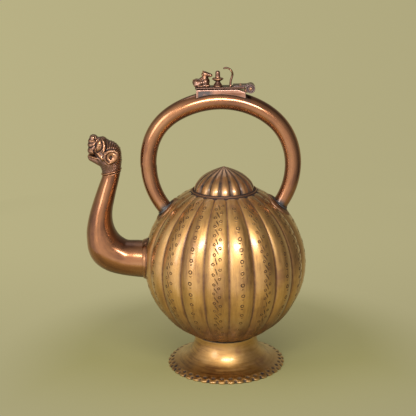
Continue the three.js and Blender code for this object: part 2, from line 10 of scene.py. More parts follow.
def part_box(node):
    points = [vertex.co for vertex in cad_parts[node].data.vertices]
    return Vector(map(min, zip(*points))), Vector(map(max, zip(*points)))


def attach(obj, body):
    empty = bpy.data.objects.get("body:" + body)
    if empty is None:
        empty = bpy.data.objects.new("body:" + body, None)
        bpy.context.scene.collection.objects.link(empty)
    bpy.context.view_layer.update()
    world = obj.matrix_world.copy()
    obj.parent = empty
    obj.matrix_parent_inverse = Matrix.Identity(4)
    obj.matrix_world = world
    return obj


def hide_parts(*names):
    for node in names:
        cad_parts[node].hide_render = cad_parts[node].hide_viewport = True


bl_info = {
    "name": "Gangajali Ewer",
    "version": (1, 0, 0),
    "blender": (4, 5, 0),
    "location": "3D View > Sidebar > Ewer",
    "description": "Lobed brass ewer with chased body, lion spout and figures on its lid",
    "category": "Object",
}

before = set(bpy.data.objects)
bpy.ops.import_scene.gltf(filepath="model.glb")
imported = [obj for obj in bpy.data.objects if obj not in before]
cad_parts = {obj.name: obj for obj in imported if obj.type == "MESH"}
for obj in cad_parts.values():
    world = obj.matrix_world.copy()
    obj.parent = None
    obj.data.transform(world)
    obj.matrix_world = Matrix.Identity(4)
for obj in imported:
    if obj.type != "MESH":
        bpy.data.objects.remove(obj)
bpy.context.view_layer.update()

MM = 0.001
TURN = 2 * math.pi


# Sizes and colours that a user would change


def length(label, text, millimetres):
    return bpy.props.FloatProperty(
        name=label, description=text, default=millimetres * MM, unit="LENGTH", precision=5
    )


def count(label, text, default):
    return bpy.props.IntProperty(name=label, description=text, default=default, min=1)


def ratio(label, text, default):
    return bpy.props.FloatProperty(name=label, description=text, default=default, precision=4)


def colour(label, text, default):
    return bpy.props.FloatVectorProperty(
        name=label, description=text, default=default, size=3, subtype="COLOR", min=0.0, max=1.0
    )


class EwerSizes(bpy.types.PropertyGroup):
    """Driving sizes, the same as the solids'"""

    body_radius: length("Body radius", "From the axis to the crest of a lobe", 77)
    body_wall: length("Body wall", "Thickness of the raised sheet", 1.6)
    seat_radius: length("Seat radius", "Where the body stands on its foot", 29)
    mouth_radius: length("Mouth radius", "Where the body meets the collar", 35.5)
    lobes: count("Lobes", "Lobes round the body", 20)
    lobe_depth: length("Lobe depth", "How far a crease lies under the crests", 3.6)
    lobe_phase: ratio("Lobe phase", "Turn of the first crease from the front, in radians", 0.05)
    lobe_power: ratio("Crease power", "Smaller makes the creases narrower", 0.74)
    foot_height: length("Foot height", "From the table to the body", 31.5)
    foot_wall: length("Foot wall", "Thickness of the trumpet", 1.8)
    foot_neck: length("Foot neck", "Radius under the body", 29.5)
    foot_rim: length("Foot rim", "Radius of the crimped rim", 56.7)
    foot_lip: length("Foot lip", "Width of the crimped rim", 5.7)
    rim_thickness: length("Rim thickness", "Height of the crimped rim", 4)
    scallops: count("Scallops", "Crimps round the foot", 40)
    scallop_depth: length("Scallop depth", "Depth of a crimp", 1.6)
    collar_radius: length("Collar radius", "Outside of the moulded collar", 34.6)
    dome_radius: length("Dome radius", "Radius at the foot of the petals", 28.4)
    dome_height: length("Dome height", "From its seat to the point", 23.4)
    dome_wall: length("Dome wall", "Thickness of the dome", 1.6)
    petals: count("Petals", "Petals of the dome", 16)
    petal_depth: length("Petal depth", "Depth of the grooves between petals", 1.7)
    petal_phase: ratio("Petal phase", "Turn of the first groove, in radians", 0.24)
    spout_rise: length("Spout rise", "Spout axis over the middle of the body", 3.6)
    spout_root: length("Spout root", "Radius at the body", 18.6)
    spout_wall: length("Spout wall", "Thickness of the spout", 1.7)
    flange_radius: length("Flange radius", "Ring where the spout leaves the body", 21.6)
    handle_half: length("Handle half width", "From the handle's middle to its axis", 67.4)
    handle_crown: length("Handle crown", "Rise of the crown over the widest place", 61)
    handle_radius: length("Handle radius", "Thickness at the crown", 8.9)
    handle_foot: length("Handle foot", "Thickness at the feet", 6.8)
    handle_wall: length("Handle wall", "Thickness of the tube's wall", 1.5)
    disc_radius: length("Disc radius", "Plates under the handle's feet", 14.3)
    saddle_half: length("Saddle half width", "Half the width of the filler saddle", 7.5)
    knuckle_radius: length("Knuckle radius", "Radius of the hinge", 4.1)


class EwerFinishes(bpy.types.PropertyGroup):
    """Colours of the finishes, as linear values"""

    body_brass: colour("Body brass", "Rubbed brass of the lobes", (0.60, 0.318, 0.084))
    body_pale: colour("Pale brass", "Thin places of the patina", (0.71, 0.425, 0.150))
    body_deep: colour("Deep brass", "Thick places of the patina", (0.34, 0.156, 0.042))
    # The crease brown also paints the shade low on the body and where the body meets the foot.
    crease_brown: colour("Crease brown", "Dirt in the creases of the body", (0.105, 0.048, 0.034))
    punch_black: colour("Punch black", "Dirt in the punched marks", (0.060, 0.030, 0.018))
    dome_warm: colour("Warm dome", "Patina of the dome", (0.52, 0.255, 0.098))
    # This colour also paints the shade under the saddle, at the seats of the dome and the foot, and between
    # the foot's crimps.
    soot: colour("Soot", "Dirt between petals and along seams", (0.030, 0.025, 0.028))
    copper: colour("Copper brass", "Spout, handle and saddle", (0.370, 0.150, 0.058))
    copper_pale: colour("Pale copper", "Rubbed copper brass", (0.47, 0.220, 0.094))
    copper_deep: colour("Deep copper", "Shaded patina of the copper brass", (0.200, 0.074, 0.034))
    # This colour also paints the shade inside the bends and on the undersides of spout and handle, and along
    # the saddle's foot.
    copper_dirt: colour("Copper dirt", "Dirt on spout and handle", (0.046, 0.021, 0.012))
    plate_brown: colour("Plate brown", "Collar and plates under the handle", (0.27, 0.125, 0.048))
    plate_rubbed: colour("Rubbed plate", "Raised places of collar and plates", (0.42, 0.235, 0.135))
    saddle_pale: colour("Pale saddle", "Thin patina of the saddle", (0.50, 0.270, 0.185))
    saddle_worn: colour("Worn saddle", "Patina of the saddle", (0.37, 0.180, 0.118))
    saddle_rubbed: colour("Rubbed saddle", "Edges of the saddle", (0.62, 0.400, 0.310))
    cast_brown: colour("Cast brown", "Old castings", (0.165, 0.074, 0.042))
    cast_rubbed: colour("Rubbed casting", "Raised places of the castings", (0.46, 0.212, 0.086))
    cast_dark: colour("Dark casting", "Hollows of the castings", (0.022, 0.016, 0.018))
    solder_grey: colour("Solder grey", "Oxidised solder", (0.066, 0.061, 0.062))
    solder_pale: colour("Pale solder", "Thin oxide on the solder", (0.125, 0.115, 0.112))
    solder_deep: colour("Deep solder", "Thick oxide on the solder", (0.040, 0.034, 0.034))
    solder_rubbed: colour("Rubbed solder", "Raised places of the solder", (0.20, 0.18, 0.17))
    lid_brown: colour("Lid brown", "Patina of the lid", (0.085, 0.048, 0.036))
    lid_deep: colour("Deep lid", "Thick patina of the lid", (0.040, 0.026, 0.022))
    strap_pale: colour("Pale strap", "Thin patina of the hinge strap", (0.22, 0.150, 0.145))
    strap_purple: colour("Strap purple", "Patina of the hinge strap", (0.145, 0.092, 0.084))
    strap_deep: colour("Deep strap", "Thick patina of the hinge strap", (0.09, 0.05, 0.040))
    strap_rubbed: colour("Rubbed strap", "Edges of the hinge strap", (0.40, 0.25, 0.20))
    backdrop: colour("Backdrop", "Pale paper under and behind the ewer", (0.470, 0.428, 0.228))


def mm(name):
    """One of the sizes, in millimetres."""
    return getattr(bpy.context.scene.ewer_sizes, name) / MM


def number(name):
    return getattr(bpy.context.scene.ewer_sizes, name)


def tone(name):
    return (*getattr(bpy.context.scene.ewer_finishes, name), 1.0)


# Places that follow from the sizes, in millimetres

HANDLE_OFFSET = -2.8
HANDLE_RISE = 27.0
FOOT_TUCK = 1.3
SPOUT_BEND = 25.0
SPOUT_ROOT_LENGTH = 15.5
SPOUT_RISER = 57.5
SPOUT_LEAN = 10.9
BAND_SLOPE = 0.25
SADDLE_UNDERCUT = 1.1
THROAT_REACH = 17.0
PIN_BORE = 1.47


def body_centre():
    return mm("foot_height") + math.sqrt(mm("body_radius") ** 2 - mm("seat_radius") ** 2)


def body_top():
    return body_centre() + math.sqrt(mm("body_radius") ** 2 - mm("mouth_radius") ** 2)


def lobe_fall(angle):
    """How far the lobed body lies under its crests at an angle from the front, as a share of its radius."""
    swell = np.abs(np.sin(number("lobes") * (angle - number("lobe_phase")) / 2)) ** number("lobe_power")
    return mm("lobe_depth") / mm("body_radius") * (1 - swell)


def handle_centre():
    return body_top() + HANDLE_RISE


def neck_place():
    """End of the spout as (x, z)."""
    x = -(mm("body_radius") + SPOUT_ROOT_LENGTH) - SPOUT_BEND + SPOUT_LEAN
    return x, body_centre() + mm("spout_rise") + SPOUT_BEND + SPOUT_RISER


def corners(node):
    """A solid's lowest and highest corner."""
    low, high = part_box(node)
    return low / MM, high / MM


def middle_of(node):
    """A solid's middle as (x, y, z)."""
    return [(low + high) / 2 for low, high in zip(*corners(node))]


def lid_top():
    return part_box("lid_plate")[1].z / MM


# Meshes from points and faces


def mesh_from(name, points, *face_sets):
    """A smooth mesh from points in millimetres and arrays of triangles or quads."""
    sizes = np.concatenate([np.full(len(faces), faces.shape[1]) for faces in face_sets])
    indices = np.concatenate([faces.ravel() for faces in face_sets])
    mesh = bpy.data.meshes.new(name)
    mesh.vertices.add(len(points))
    mesh.vertices.foreach_set("co", (np.asarray(points, float) * MM).astype(np.float32).ravel())
    mesh.loops.add(len(indices))
    mesh.loops.foreach_set("vertex_index", indices.astype(np.int32))
    mesh.polygons.add(len(sizes))
    starts = np.concatenate([[0], np.cumsum(sizes)[:-1]]).astype(np.int32)
    mesh.polygons.foreach_set("loop_start", starts)
    mesh.update(calc_edges=True)
    mesh.validate()
    mesh.shade_smooth()
    return mesh


def volume_of(a, b, c):
    """Six times the volume that triangles bound, under zero when they face inwards."""
    return np.einsum("ij,ij->i", a, np.cross(b, c)).sum()


def outward(points, *face_sets):
    """The face sets, turned over if the closed shape they bound is inside out."""
    volume = sum(
        volume_of(points[faces[:, 0]], points[faces[:, k]], points[faces[:, k + 1]])
        for faces in face_sets
        for k in range(1, faces.shape[1] - 1)
    )
    return [faces[:, ::-1] if volume < 0 else faces for faces in face_sets]


def ring_quads(rows, sides):
    """Quads between neighbouring rings of points, as an array of rows and sides."""
    i, j = np.meshgrid(np.arange(rows), np.arange(sides), indexing="ij")
    down, beside = (i + 1) % rows, (j + 1) % sides
    return np.stack([i * sides + j, i * sides + beside, down * sides + beside, down * sides + j], -1)


def ring_mesh(name, points):
    """A closed ring from an array of points: sections in rows, round the ring in columns."""
    rows, sides = points.shape[:2]
    points = points.reshape(-1, 3)
    return mesh_from(name, points, *outward(points, ring_quads(rows, sides).reshape(-1, 4)))


def attribute(mesh, name, values):
    """Stores a number or a vector for every point."""
    kind, field = ("FLOAT_VECTOR", "vector") if np.ndim(values) == 2 else ("FLOAT", "value")
    layer = mesh.attributes.get(name) or mesh.attributes.new(name, kind, "POINT")
    layer.data.foreach_set(field, np.asarray(values, np.float32).ravel())


def read(mesh, name):
    """A stored number for every point, or zero where there is none."""
    layer = mesh.attributes.get(name)
    values = np.zeros(len(mesh.vertices), np.float32)
    if layer:
        layer.data.foreach_get("value", values)
    return values


def raise_to(mesh, name, values):
    """Lifts a stored number where the given one is higher."""
    attribute(mesh, name, np.maximum(read(mesh, name), values))


def vectors_of(mesh, field):
    values = np.empty(len(mesh.vertices) * 3, np.float32)
    mesh.vertices.foreach_get(field, values)
    return values.reshape(-1, 3).astype(float)


def points_of(mesh):
    """A mesh's points, in millimetres."""
    return vectors_of(mesh, "co") / MM


def reach_of(mesh):
    """How far a mesh's points lie from the Z axis, in millimetres."""
    return np.hypot(*points_of(mesh)[:, :2].T)


def shift(mesh, x, z):
    """Moves a mesh by millimetres along X and Z."""
    mesh.transform(Matrix.Translation(Vector((x, 0, z)) * MM))


def stand(mesh, place, axis):
    """Sets a mesh that was made about Z at a place, along an axis."""
    mesh.transform(Matrix.Translation(place * MM) @ axis.to_track_quat("Z", "Y").to_matrix().to_4x4())


def turn_over(mesh):
    """Turns a closed mesh's faces outwards."""
    mesh.calc_loop_triangles()
    indices = np.empty(len(mesh.loop_triangles) * 3, np.int32)
    mesh.loop_triangles.foreach_get("vertices", indices)
    if volume_of(*points_of(mesh)[indices.reshape(-1, 3).T]) < 0:
        mesh.flip_normals()
    return mesh


def weather(mesh, passes, depth):
    """Stores where the surface lies under its smoothed shape (hollow) and over it (ridge)."""
    total = len(mesh.vertices)
    place = vectors_of(mesh, "co")
    ends = np.empty(len(mesh.edges) * 2, np.int32)
    mesh.edges.foreach_get("vertices", ends)
    first, second = ends.reshape(-1, 2).T
    degree = np.maximum(np.bincount(ends, minlength=total), 1)
    smooth = place.copy()
    for _ in range(passes):
        for column in smooth.T:
            sums = np.bincount(first, column[second], total) + np.bincount(second, column[first], total)
            column[:] = sums / degree
    lift = ((smooth - place) * vectors_of(mesh, "normal")).sum(1) / (depth * MM)
    raise_to(mesh, "hollow", np.clip(lift, 0, 1))
    raise_to(mesh, "ridge", np.clip(-lift, 0, 1))
    if mesh.attributes.get("grain") is None:
        attribute(mesh, "grain", place)


def soil_below(mesh, amount):
    """Painted shade on the places that face down."""
    gain, threshold = 1.3, 0.2
    down = -vectors_of(mesh, "normal")[:, 2]
    raise_to(mesh, "hollow", amount * np.clip(gain * down - threshold, 0, 1))


def placed(name, mesh):
    piece = bpy.data.objects.new(name, mesh)
    bpy.context.scene.collection.objects.link(piece)
    return piece


def settle(name, mesh, finish, body, slot, *nodes):
    """Sets a piece in the scene with its finish and its body, and hides the solids that it stands for; the
    slot is not used.
    """
    piece = placed(name, mesh)
    mesh.materials.clear()
    mesh.materials.append(finish)
    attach(piece, body)
    if nodes:
        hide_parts(*nodes)


# Node trees


class Value:
    """An output in a node tree; reckoning with it adds the nodes for it."""

    def __init__(self, socket):
        self.socket = socket
        self.tree = socket.id_data

    def math(self, operation, *others):
        return out(self.tree, "ShaderNodeMath", dict(enumerate((self, *others))), operation=operation)

    def __add__(self, other):
        return self.math("ADD", other)

    def __sub__(self, other):
        return self.math("SUBTRACT", other)

    def __rsub__(self, other):
        return self.math("MULTIPLY_ADD", -1.0, other)

    def __mul__(self, other):
        return self.math("MULTIPLY", other)

    def __truediv__(self, other):
        return self.math("DIVIDE", other)

    def __pow__(self, other):
        return self.math("POWER", other)

    def at_most(self, other):
        return self.math("MINIMUM", other)

    def at_least(self, other):
        return self.math("MAXIMUM", other)

    def ramp(self, low, high, to_low=0.0, to_high=1.0, kind="SMOOTHSTEP"):
        """Carries the value over from one range to another."""
        inputs = {"Value": self, "From Min": low, "From Max": high, "To Min": to_low, "To Max": to_high}
        return out(self.tree, "ShaderNodeMapRange", inputs, interpolation_type=kind)

    def mix(self, first, second):
        """Blends two colours by the value."""
        return out(self.tree, "ShaderNodeMix", {0: self, 6: first, 7: second}, 2, data_type="RGBA")

    def split(self):
        return [Value(socket) for socket in add(self.tree, "ShaderNodeSeparateXYZ", {0: self}).outputs]


def feed(node, inputs):
    """Sets a node's inputs; an input that is a value is linked."""
    for key, value in inputs.items():
        if isinstance(value, Value):
            value.tree.links.new(value.socket, node.inputs[key])
        else:
            node.inputs[key].default_value = value


def add(tree, kind, inputs=None, **settings):
    """A node with its settings and inputs."""
    node = tree.nodes.new(kind)
    for key, value in settings.items():
        setattr(node, key, value)
    feed(node, inputs or {})
    return node


def out(tree, kind, inputs=None, output=0, **settings):
    """One output of a new node."""
    return Value(add(tree, kind, inputs, **settings).outputs[output])


def vector(tree, x, y, z):
    return out(tree, "ShaderNodeCombineXYZ", {"X": x, "Y": y, "Z": z})


def position(tree):
    return out(tree, "GeometryNodeInputPosition")


def new_tree(name, **sockets):
    """A geometry tree with the named inputs; returns it with them."""
    tree = bpy.data.node_groups.new(name, "GeometryNodeTree")
    tree.interface.new_socket("Geometry", in_out="OUTPUT", socket_type="NodeSocketGeometry")
    for label, kind in {"Geometry": "Geometry", **sockets}.items():
        tree.interface.new_socket(label, in_out="INPUT", socket_type="NodeSocket" + kind)
    return tree, {socket.name: Value(socket) for socket in add(tree, "NodeGroupInput").outputs}


def finish_tree(tree, geometry, finish):
    shaded = out(tree, "GeometryNodeSetShadeSmooth", {"Geometry": geometry})
    whole = out(tree, "GeometryNodeRealizeInstances", {"Geometry": shaded})
    dressed = out(tree, "GeometryNodeSetMaterial", {"Geometry": whole, "Material": finish})
    add(tree, "NodeGroupOutput", {0: dressed})
    return tree


def keep(tree, geometry, name, value, kind="FLOAT"):
    inputs = {"Geometry": geometry, "Name": name, "Value": value}
    return out(tree, "GeometryNodeStoreNamedAttribute", inputs, data_type=kind, domain="POINT")


def stored(tree, name):
    return out(tree, "GeometryNodeInputNamedAttribute", {"Name": name}, "Attribute", data_type="FLOAT")


def lattice(tree, columns, rows):
    """A grid of points, with the column and the row of each."""
    sizes = {"Size X": 1.0, "Size Y": 1.0, "Vertices X": columns, "Vertices Y": rows}
    grid = out(tree, "GeometryNodeMeshGrid", sizes)
    index = out(tree, "GeometryNodeInputIndex")
    column = ((index + 0.5) / rows).math("FLOOR")
    return grid, column, index - column * rows


def crease_share(angle, inputs, depth):
    """Swell of a lobe at an angle, its dip, and the share of the radius that is left there."""
    wave = ((angle - inputs["Phase"]) * 0.5 * inputs["Flutes"]).math("SINE")
    swell = wave.math("ABSOLUTE") ** inputs["Power"]
    dip = 1.0 - swell
    return swell, dip, 1.0 - dip * depth


def turning_tree():
    """Turns the seed's points, a profile of radius and height, about Z and flutes the result."""
    name = "fluted_turning"
    if name in bpy.data.node_groups:
        return bpy.data.node_groups[name]
    tree, inputs = new_tree(
        name, Columns="Int", Flutes="Int", Phase="Float", Power="Float", Soil="Float", Finish="Material"
    )
    dent_narrowing, soil_per_flute, soil_per_dent = 5.0, 40.0, 1800.0
    grain_radius, weld = 0.05, 1e-6
    seed = inputs["Geometry"]
    rows = out(tree, "GeometryNodeAttributeDomainSize", {"Geometry": seed}, "Point Count")
    grid, column, row = lattice(tree, inputs["Columns"] + 1.0, rows)
    row = row.math("ROUND")
    angle = column * TURN / inputs["Columns"]

    def sampled(value, kind="FLOAT"):
        source = {"Geometry": seed, "Index": row, "Value": value}
        return out(tree, "GeometryNodeSampleIndex", source, data_type=kind, domain="POINT")

    radius, _, height = sampled(position(tree), "FLOAT_VECTOR").split()
    depth = sampled(stored(tree, "flute"))
    swell, dip, share = crease_share(angle, inputs, depth)
    dent = sampled(stored(tree, "dent")) * swell**dent_narrowing
    radius = radius * share
    x, y = angle.math("SINE"), angle.math("COSINE") * -1.0
    place = vector(tree, radius * x, radius * y, height - dent)
    # Darkens the dips and dents: dirty creases on the body and grooves between the dome's petals, painted
    # shadow in the gaps between the foot's crimps, darker dimples.
    fluted = (depth * soil_per_flute).at_most(1.0)
    dented = (dent * soil_per_dent).at_most(1.0)
    dirt = (dip ** inputs["Soil"] * fluted).at_least(dented)
    grain = vector(tree, x * grain_radius, y * grain_radius, sampled(stored(tree, "reach")))
    shape = keep(tree, grid, "hollow", dirt)
    shape = keep(tree, shape, "grain", grain, "FLOAT_VECTOR")
    shape = out(tree, "GeometryNodeSetPosition", {"Geometry": shape, "Position": place})
    shape = out(tree, "GeometryNodeMergeByDistance", {"Geometry": shape, "Distance": weld})
    return finish_tree(tree, shape, inputs["Finish"])


def chasing_tree():
    """Lays the seed, a flat punch mark, in rows on every second lobe of the body."""
    name = "chased_rows"
    if name in bpy.data.node_groups:
        return bpy.data.node_groups[name]
    tree, inputs = new_tree(
        name, Flutes="Int", First="Int", Rows="Int", Lowest="Float", Highest="Float", Radius="Float",
        Centre="Float", Depth="Float", Phase="Float", Power="Float", Wander="Float", Seed="Int",
        Finish="Material",
    )
    most_tilt, smallest, largest = 0.16, 0.9, 1.08
    rows, ball = inputs["Rows"], inputs["Radius"]
    grid, lane, row = lattice(tree, inputs["Flutes"] / 2.0, rows)

    def chance(low, high, salt):
        limits = {"Seed": inputs["Seed"] + salt, 2: low, 3: high}
        return out(tree, "FunctionNodeRandomValue", limits, 1)

    def stray(salt):
        return chance(-1.0, 1.0, salt) * inputs["Wander"]

    spots = vector(tree, lane + stray(1.0), row + stray(2.0), 0.0)
    points = out(tree, "GeometryNodeSetPosition", {"Geometry": grid, "Position": spots})
    marks = out(tree, "GeometryNodeInstanceOnPoints", {
        "Points": points,
        "Instance": inputs["Geometry"],
        "Rotation": vector(tree, 0.0, 0.0, chance(-most_tilt, most_tilt, 3.0)),
        "Scale": chance(smallest, largest, 4.0),
    })
    marks = out(tree, "GeometryNodeRealizeInstances", {"Geometry": marks})
    x, y, lift = position(tree).split()
    lane, row = x.math("ROUND"), y.math("ROUND")
    middle = (lane * 2.0 + inputs["First"] + 0.5) * TURN / inputs["Flutes"] + inputs["Phase"]
    level = (row + 0.5) / rows * (inputs["Highest"] - inputs["Lowest"]) + inputs["Lowest"]
    angle = middle + (x - lane) / (ball * level.math("COSINE"))
    level = level + (y - row) / ball
    share = crease_share(angle, inputs, inputs["Depth"])[2]
    radius = (ball * share + lift) * level.math("COSINE")
    height = (ball + lift) * level.math("SINE") + inputs["Centre"]
    place = vector(tree, radius * angle.math("SINE"), radius * angle.math("COSINE") * -1.0, height)
    shape = out(tree, "GeometryNodeSetPosition", {"Geometry": marks, "Position": place})
    shape = keep(tree, shape, "grain", position(tree), "FLOAT_VECTOR")
    return finish_tree(tree, shape, inputs["Finish"])


def rivet_tree():
    """Repeats the seed, a rivet, along a line."""
    tree, inputs = new_tree("rivet_row", Start="Vector", Offset="Vector", Rivets="Int", Finish="Material")
    line = {"Count": inputs["Rivets"], "Start Location": inputs["Start"], "Offset": inputs["Offset"]}
    points = out(tree, "GeometryNodeMeshLine", line)
    rivets = out(tree, "GeometryNodeInstanceOnPoints", {"Points": points, "Instance": inputs["Geometry"]})
    return finish_tree(tree, rivets, inputs["Finish"])


def grown(name, seed, tree, values):
    """The plain mesh that a tree makes of a seed mesh."""
    holder = placed(name + "_seed", seed)
    modifier = holder.modifiers.new("make", "NODES")
    modifier.node_group = tree
    for item in tree.interface.items_tree:
        if item.item_type == "SOCKET" and item.in_out == "INPUT" and item.name in values:
            modifier[item.identifier] = values[item.name]
    depsgraph = bpy.context.evaluated_depsgraph_get()
    mesh = bpy.data.meshes.new_from_object(
        holder.evaluated_get(depsgraph), preserve_all_data_layers=True, depsgraph=depsgraph
    )
    mesh.name = name
    bpy.data.objects.remove(holder)
    bpy.data.meshes.remove(seed)
    if len(mesh.polygons) == 0:
        raise RuntimeError(f"{name}: the tree made nothing")
    return mesh


def turned(name, profile, finish, columns=96, flutes=1, phase=0.0, power=1.0, soil=2.2, flute=0.0, dent=0.0):
    """A profile of (radius, height) points in millimetres turned about Z, fluted where flute says."""
    points = np.asarray(profile, float)
    total = len(points)
    seed = bpy.data.meshes.new(name + "_profile")
    seed.vertices.add(total)
    cloud = np.stack([points[:, 0], np.zeros(total), points[:, 1]], 1) * MM
    seed.vertices.foreach_set("co", cloud.astype(np.float32).ravel())
    attribute(seed, "flute", np.full(total, flute))
    attribute(seed, "dent", np.full(total, dent) * MM)
    attribute(seed, "reach", lengths_along(points) * MM)
    values = {
        "Columns": columns, "Flutes": flutes, "Phase": phase, "Power": power, "Soil": soil, "Finish": finish,
    }
    return turn_over(grown(name, seed, turning_tree(), values))


# Profiles and routes


def bezier(points, steps):
    t = np.linspace(0, 1, steps)[:, None]
    a, b, c, d = (np.asarray(point, float) for point in points)
    return (1 - t) ** 3 * a + 3 * t * (1 - t) ** 2 * b + 3 * t**2 * (1 - t) * c + t**3 * d


def arc(centre, radius, start, end, steps):
    angle = np.linspace(start, end, steps)
    return np.stack([centre[0] + radius * np.cos(angle), centre[1] + radius * np.sin(angle)], 1)


def ring_line(x, y, radius, steps):
    """Points round a circle, without the first one again at the end."""
    return arc((x, y), radius, 0, TURN * (1 - 1 / steps), steps)


def lengths_along(line):
    return np.concatenate([[0], np.cumsum(np.linalg.norm(np.diff(line, axis=0), axis=1))])


def evenly(dense, steps):
    along = lengths_along(dense)
    wanted = np.linspace(0, along[-1], steps)
    return np.stack([np.interp(wanted, along, column) for column in dense.T], 1)


def spline(points, steps):
    """A smooth curve through points of any dimension, evenly spaced along its length."""
    samples = 24
    knots = np.asarray(points, float)
    ends = np.vstack([2 * knots[0] - knots[1], knots, 2 * knots[-1] - knots[-2]])
    t = np.linspace(0, 1, samples, endpoint=False)[:, None]
    pieces = []
    for p, q, r, s in zip(ends, ends[1:], ends[2:], ends[3:]):
        curve = (2 * p - 5 * q + 4 * r - s) * t**2 + (3 * q - p - 3 * r + s) * t**3
        pieces.append(0.5 * (2 * q + (r - p) * t + curve))
    return evenly(np.vstack(pieces + [knots[-1:]]), steps)


def eased(places, sizes, at):
    """Sizes at places along a route, joined smoothly without overshoot."""
    places, sizes = np.asarray(places, float), np.asarray(sizes, float)
    slope = np.diff(sizes) / np.diff(places)
    tangent = np.zeros(len(sizes))
    for k in range(1, len(sizes) - 1):
        if slope[k - 1] * slope[k] > 0:
            tangent[k] = 2 / (1 / slope[k - 1] + 1 / slope[k])
    tangent[0], tangent[-1] = slope[0], slope[-1]
    k = np.clip(np.searchsorted(places, at) - 1, 0, len(places) - 2)
    step = places[k + 1] - places[k]
    t = (at - places[k]) / step
    rise = sizes[k] * (2 * t**3 - 3 * t**2 + 1) + sizes[k + 1] * (3 * t**2 - 2 * t**3)
    return rise + step * (tangent[k] * (t**3 - 2 * t**2 + t) + tangent[k + 1] * (t**3 - t**2))


def swept(name, route, within, across, sides, wall=None, opening=None, shade=0.0, facing=None):
    """Round sections along a route in the XZ plane, solid or hollow; shade darkens the inside of the bend as
    painted shade.
    """
    grain_radius, shade_start = 8.0, 0.25
    ahead = np.gradient(route, axis=0)
    ahead /= np.linalg.norm(ahead, axis=1)[:, None]
    facing = np.stack([-ahead[:, 1], ahead[:, 0]], 1) if facing is None else facing
    rows = len(route)
    angle = np.arange(sides) * TURN / sides
    along = lengths_along(route)

    def skin(in_plane, over):
        lift = in_plane[:, None] * np.cos(angle)
        x = route[:, :1] + facing[:, :1] * lift
        z = route[:, 1:] + facing[:, 1:] * lift
        return np.stack([x, over[:, None] * np.sin(angle), z], -1).reshape(-1, 3)

    cells = ring_quads(rows, sides)[:-1]
    shut = np.ones((rows - 1, sides), bool) if opening is None else ~opening
    ring = np.arange(sides)
    beside = np.roll(ring, -1)
    last, total = (rows - 1) * sides, rows * sides
    quads = [cells[shut]]
    sheet = np.column_stack([
        np.tile(np.stack([np.cos(angle), np.sin(angle)], 1) * grain_radius, (rows, 1)),
        np.repeat(along, sides),
    ])
    if wall is None:
        tips = [(route[0, 0], 0, route[0, 1]), (route[-1, 0], 0, route[-1, 1])]
        points = np.vstack([skin(within, across), tips])
        caps = np.vstack([
            np.stack([np.full(sides, total), beside, ring], 1),
            np.stack([np.full(sides, total + 1), last + ring, last + beside], 1),
        ])
        faces = [np.vstack(quads), caps]
        grain = np.vstack([sheet, [(0, 0, 0), (0, 0, along[-1])]])
    else:
        points = np.vstack([skin(within, across), skin(within - wall, across - wall)])
        quads.append(cells[shut][:, ::-1] + total)
        rim = np.stack([ring, ring + total, beside + total, beside], 1)
        quads.append(rim)
        quads.append(last + rim[:, ::-1])
        for turn, first, second in (((1, 0), 0, 1), ((-1, 0), 2, 3), ((0, -1), 1, 2), ((0, 1), 3, 0)):
            edge = cells[~shut & np.roll(shut, turn, (0, 1))]
            start, end = edge[:, first], edge[:, second]
            quads.append(np.stack([end, start, start + total, end + total], 1))
        faces = [np.vstack(quads)]
        grain = np.vstack([sheet, sheet])
    mesh = mesh_from(name, points, *outward(points, *faces))
    attribute(mesh, "grain", grain * MM)
    soiled = np.zeros(len(points))
    # Painted shade on the inside of the bend.
    soiled[:total] = np.tile(shade * np.clip(-shade_start - np.cos(angle), 0, 1), rows)
    attribute(mesh, "hollow", soiled)
    return mesh


# Sculpted forms: a field is under zero inside the form


def egg(p, centre, radii, turn=0.0):
    q = p - np.asarray(centre, float)
    if turn:
        c, s = math.cos(turn), math.sin(turn)
        q = np.stack([c * q[:, 0] - s * q[:, 2], q[:, 1], s * q[:, 0] + c * q[:, 2]], 1)
    r = np.asarray(radii, float)
    near = np.linalg.norm(q / r, axis=1)
    return near * (near - 1) / np.maximum(np.linalg.norm(q / r**2, axis=1), 1e-9)


def limb(p, start, end, start_radius, end_radius):
    a, b = np.asarray(start, float), np.asarray(end, float)
    t = np.clip((p - a) @ (b - a) / ((b - a) @ (b - a)), 0, 1)
    away = np.linalg.norm(p - a - t[:, None] * (b - a), axis=1)
    return away - (start_radius + (end_radius - start_radius) * t)


def roll(p, points, radius):
    return np.min([limb(p, a, b, radius, radius) for a, b in zip(points[:-1], points[1:])], axis=0)


def slab(p, low, high, rounding):
    low, high = np.asarray(low, float), np.asarray(high, float)
    q = np.abs(p - (low + high) / 2) - (high - low) / 2 + rounding
    return np.linalg.norm(np.maximum(q, 0), axis=1) + np.minimum(q.max(1), 0) - rounding


def barrel(p, centre, radius, half):
    """A cylinder along Y."""
    x, z = centre
    side = np.hypot(p[:, 0] - x, p[:, 2] - z) - radius
    end = np.abs(p[:, 1]) - half
    return np.minimum(np.maximum(side, end), 0) + np.hypot(np.maximum(side, 0), np.maximum(end, 0))


def pin_hole(p, centre):
    return barrel(p, centre, PIN_BORE, 20)


def merge(a, b, soft):
    h = np.clip(0.5 + 0.5 * (b - a) / soft, 0, 1)
    return b * (1 - h) + a * h - soft * h * (1 - h)


def merge_all(soft, *fields):
    whole = fields[0]
    for field in fields[1:]:
        whole = merge(whole, field, soft)
    return whole


def carve(a, b, soft):
    return -merge(-a, b, soft)


def folded(p):
    """Both sides of the XZ plane laid on the side where Y is positive."""
    return np.column_stack([p[:, 0], np.abs(p[:, 1]), p[:, 2]])


def line_distance(p, points):
    """Distance in the XZ plane from a line drawn through points."""
    return roll(p * np.array([1, 0, 1]), [(x, 0, z) for x, z in points], 0)


def bump(distance, width):
    return np.exp(-((distance / width) ** 2))


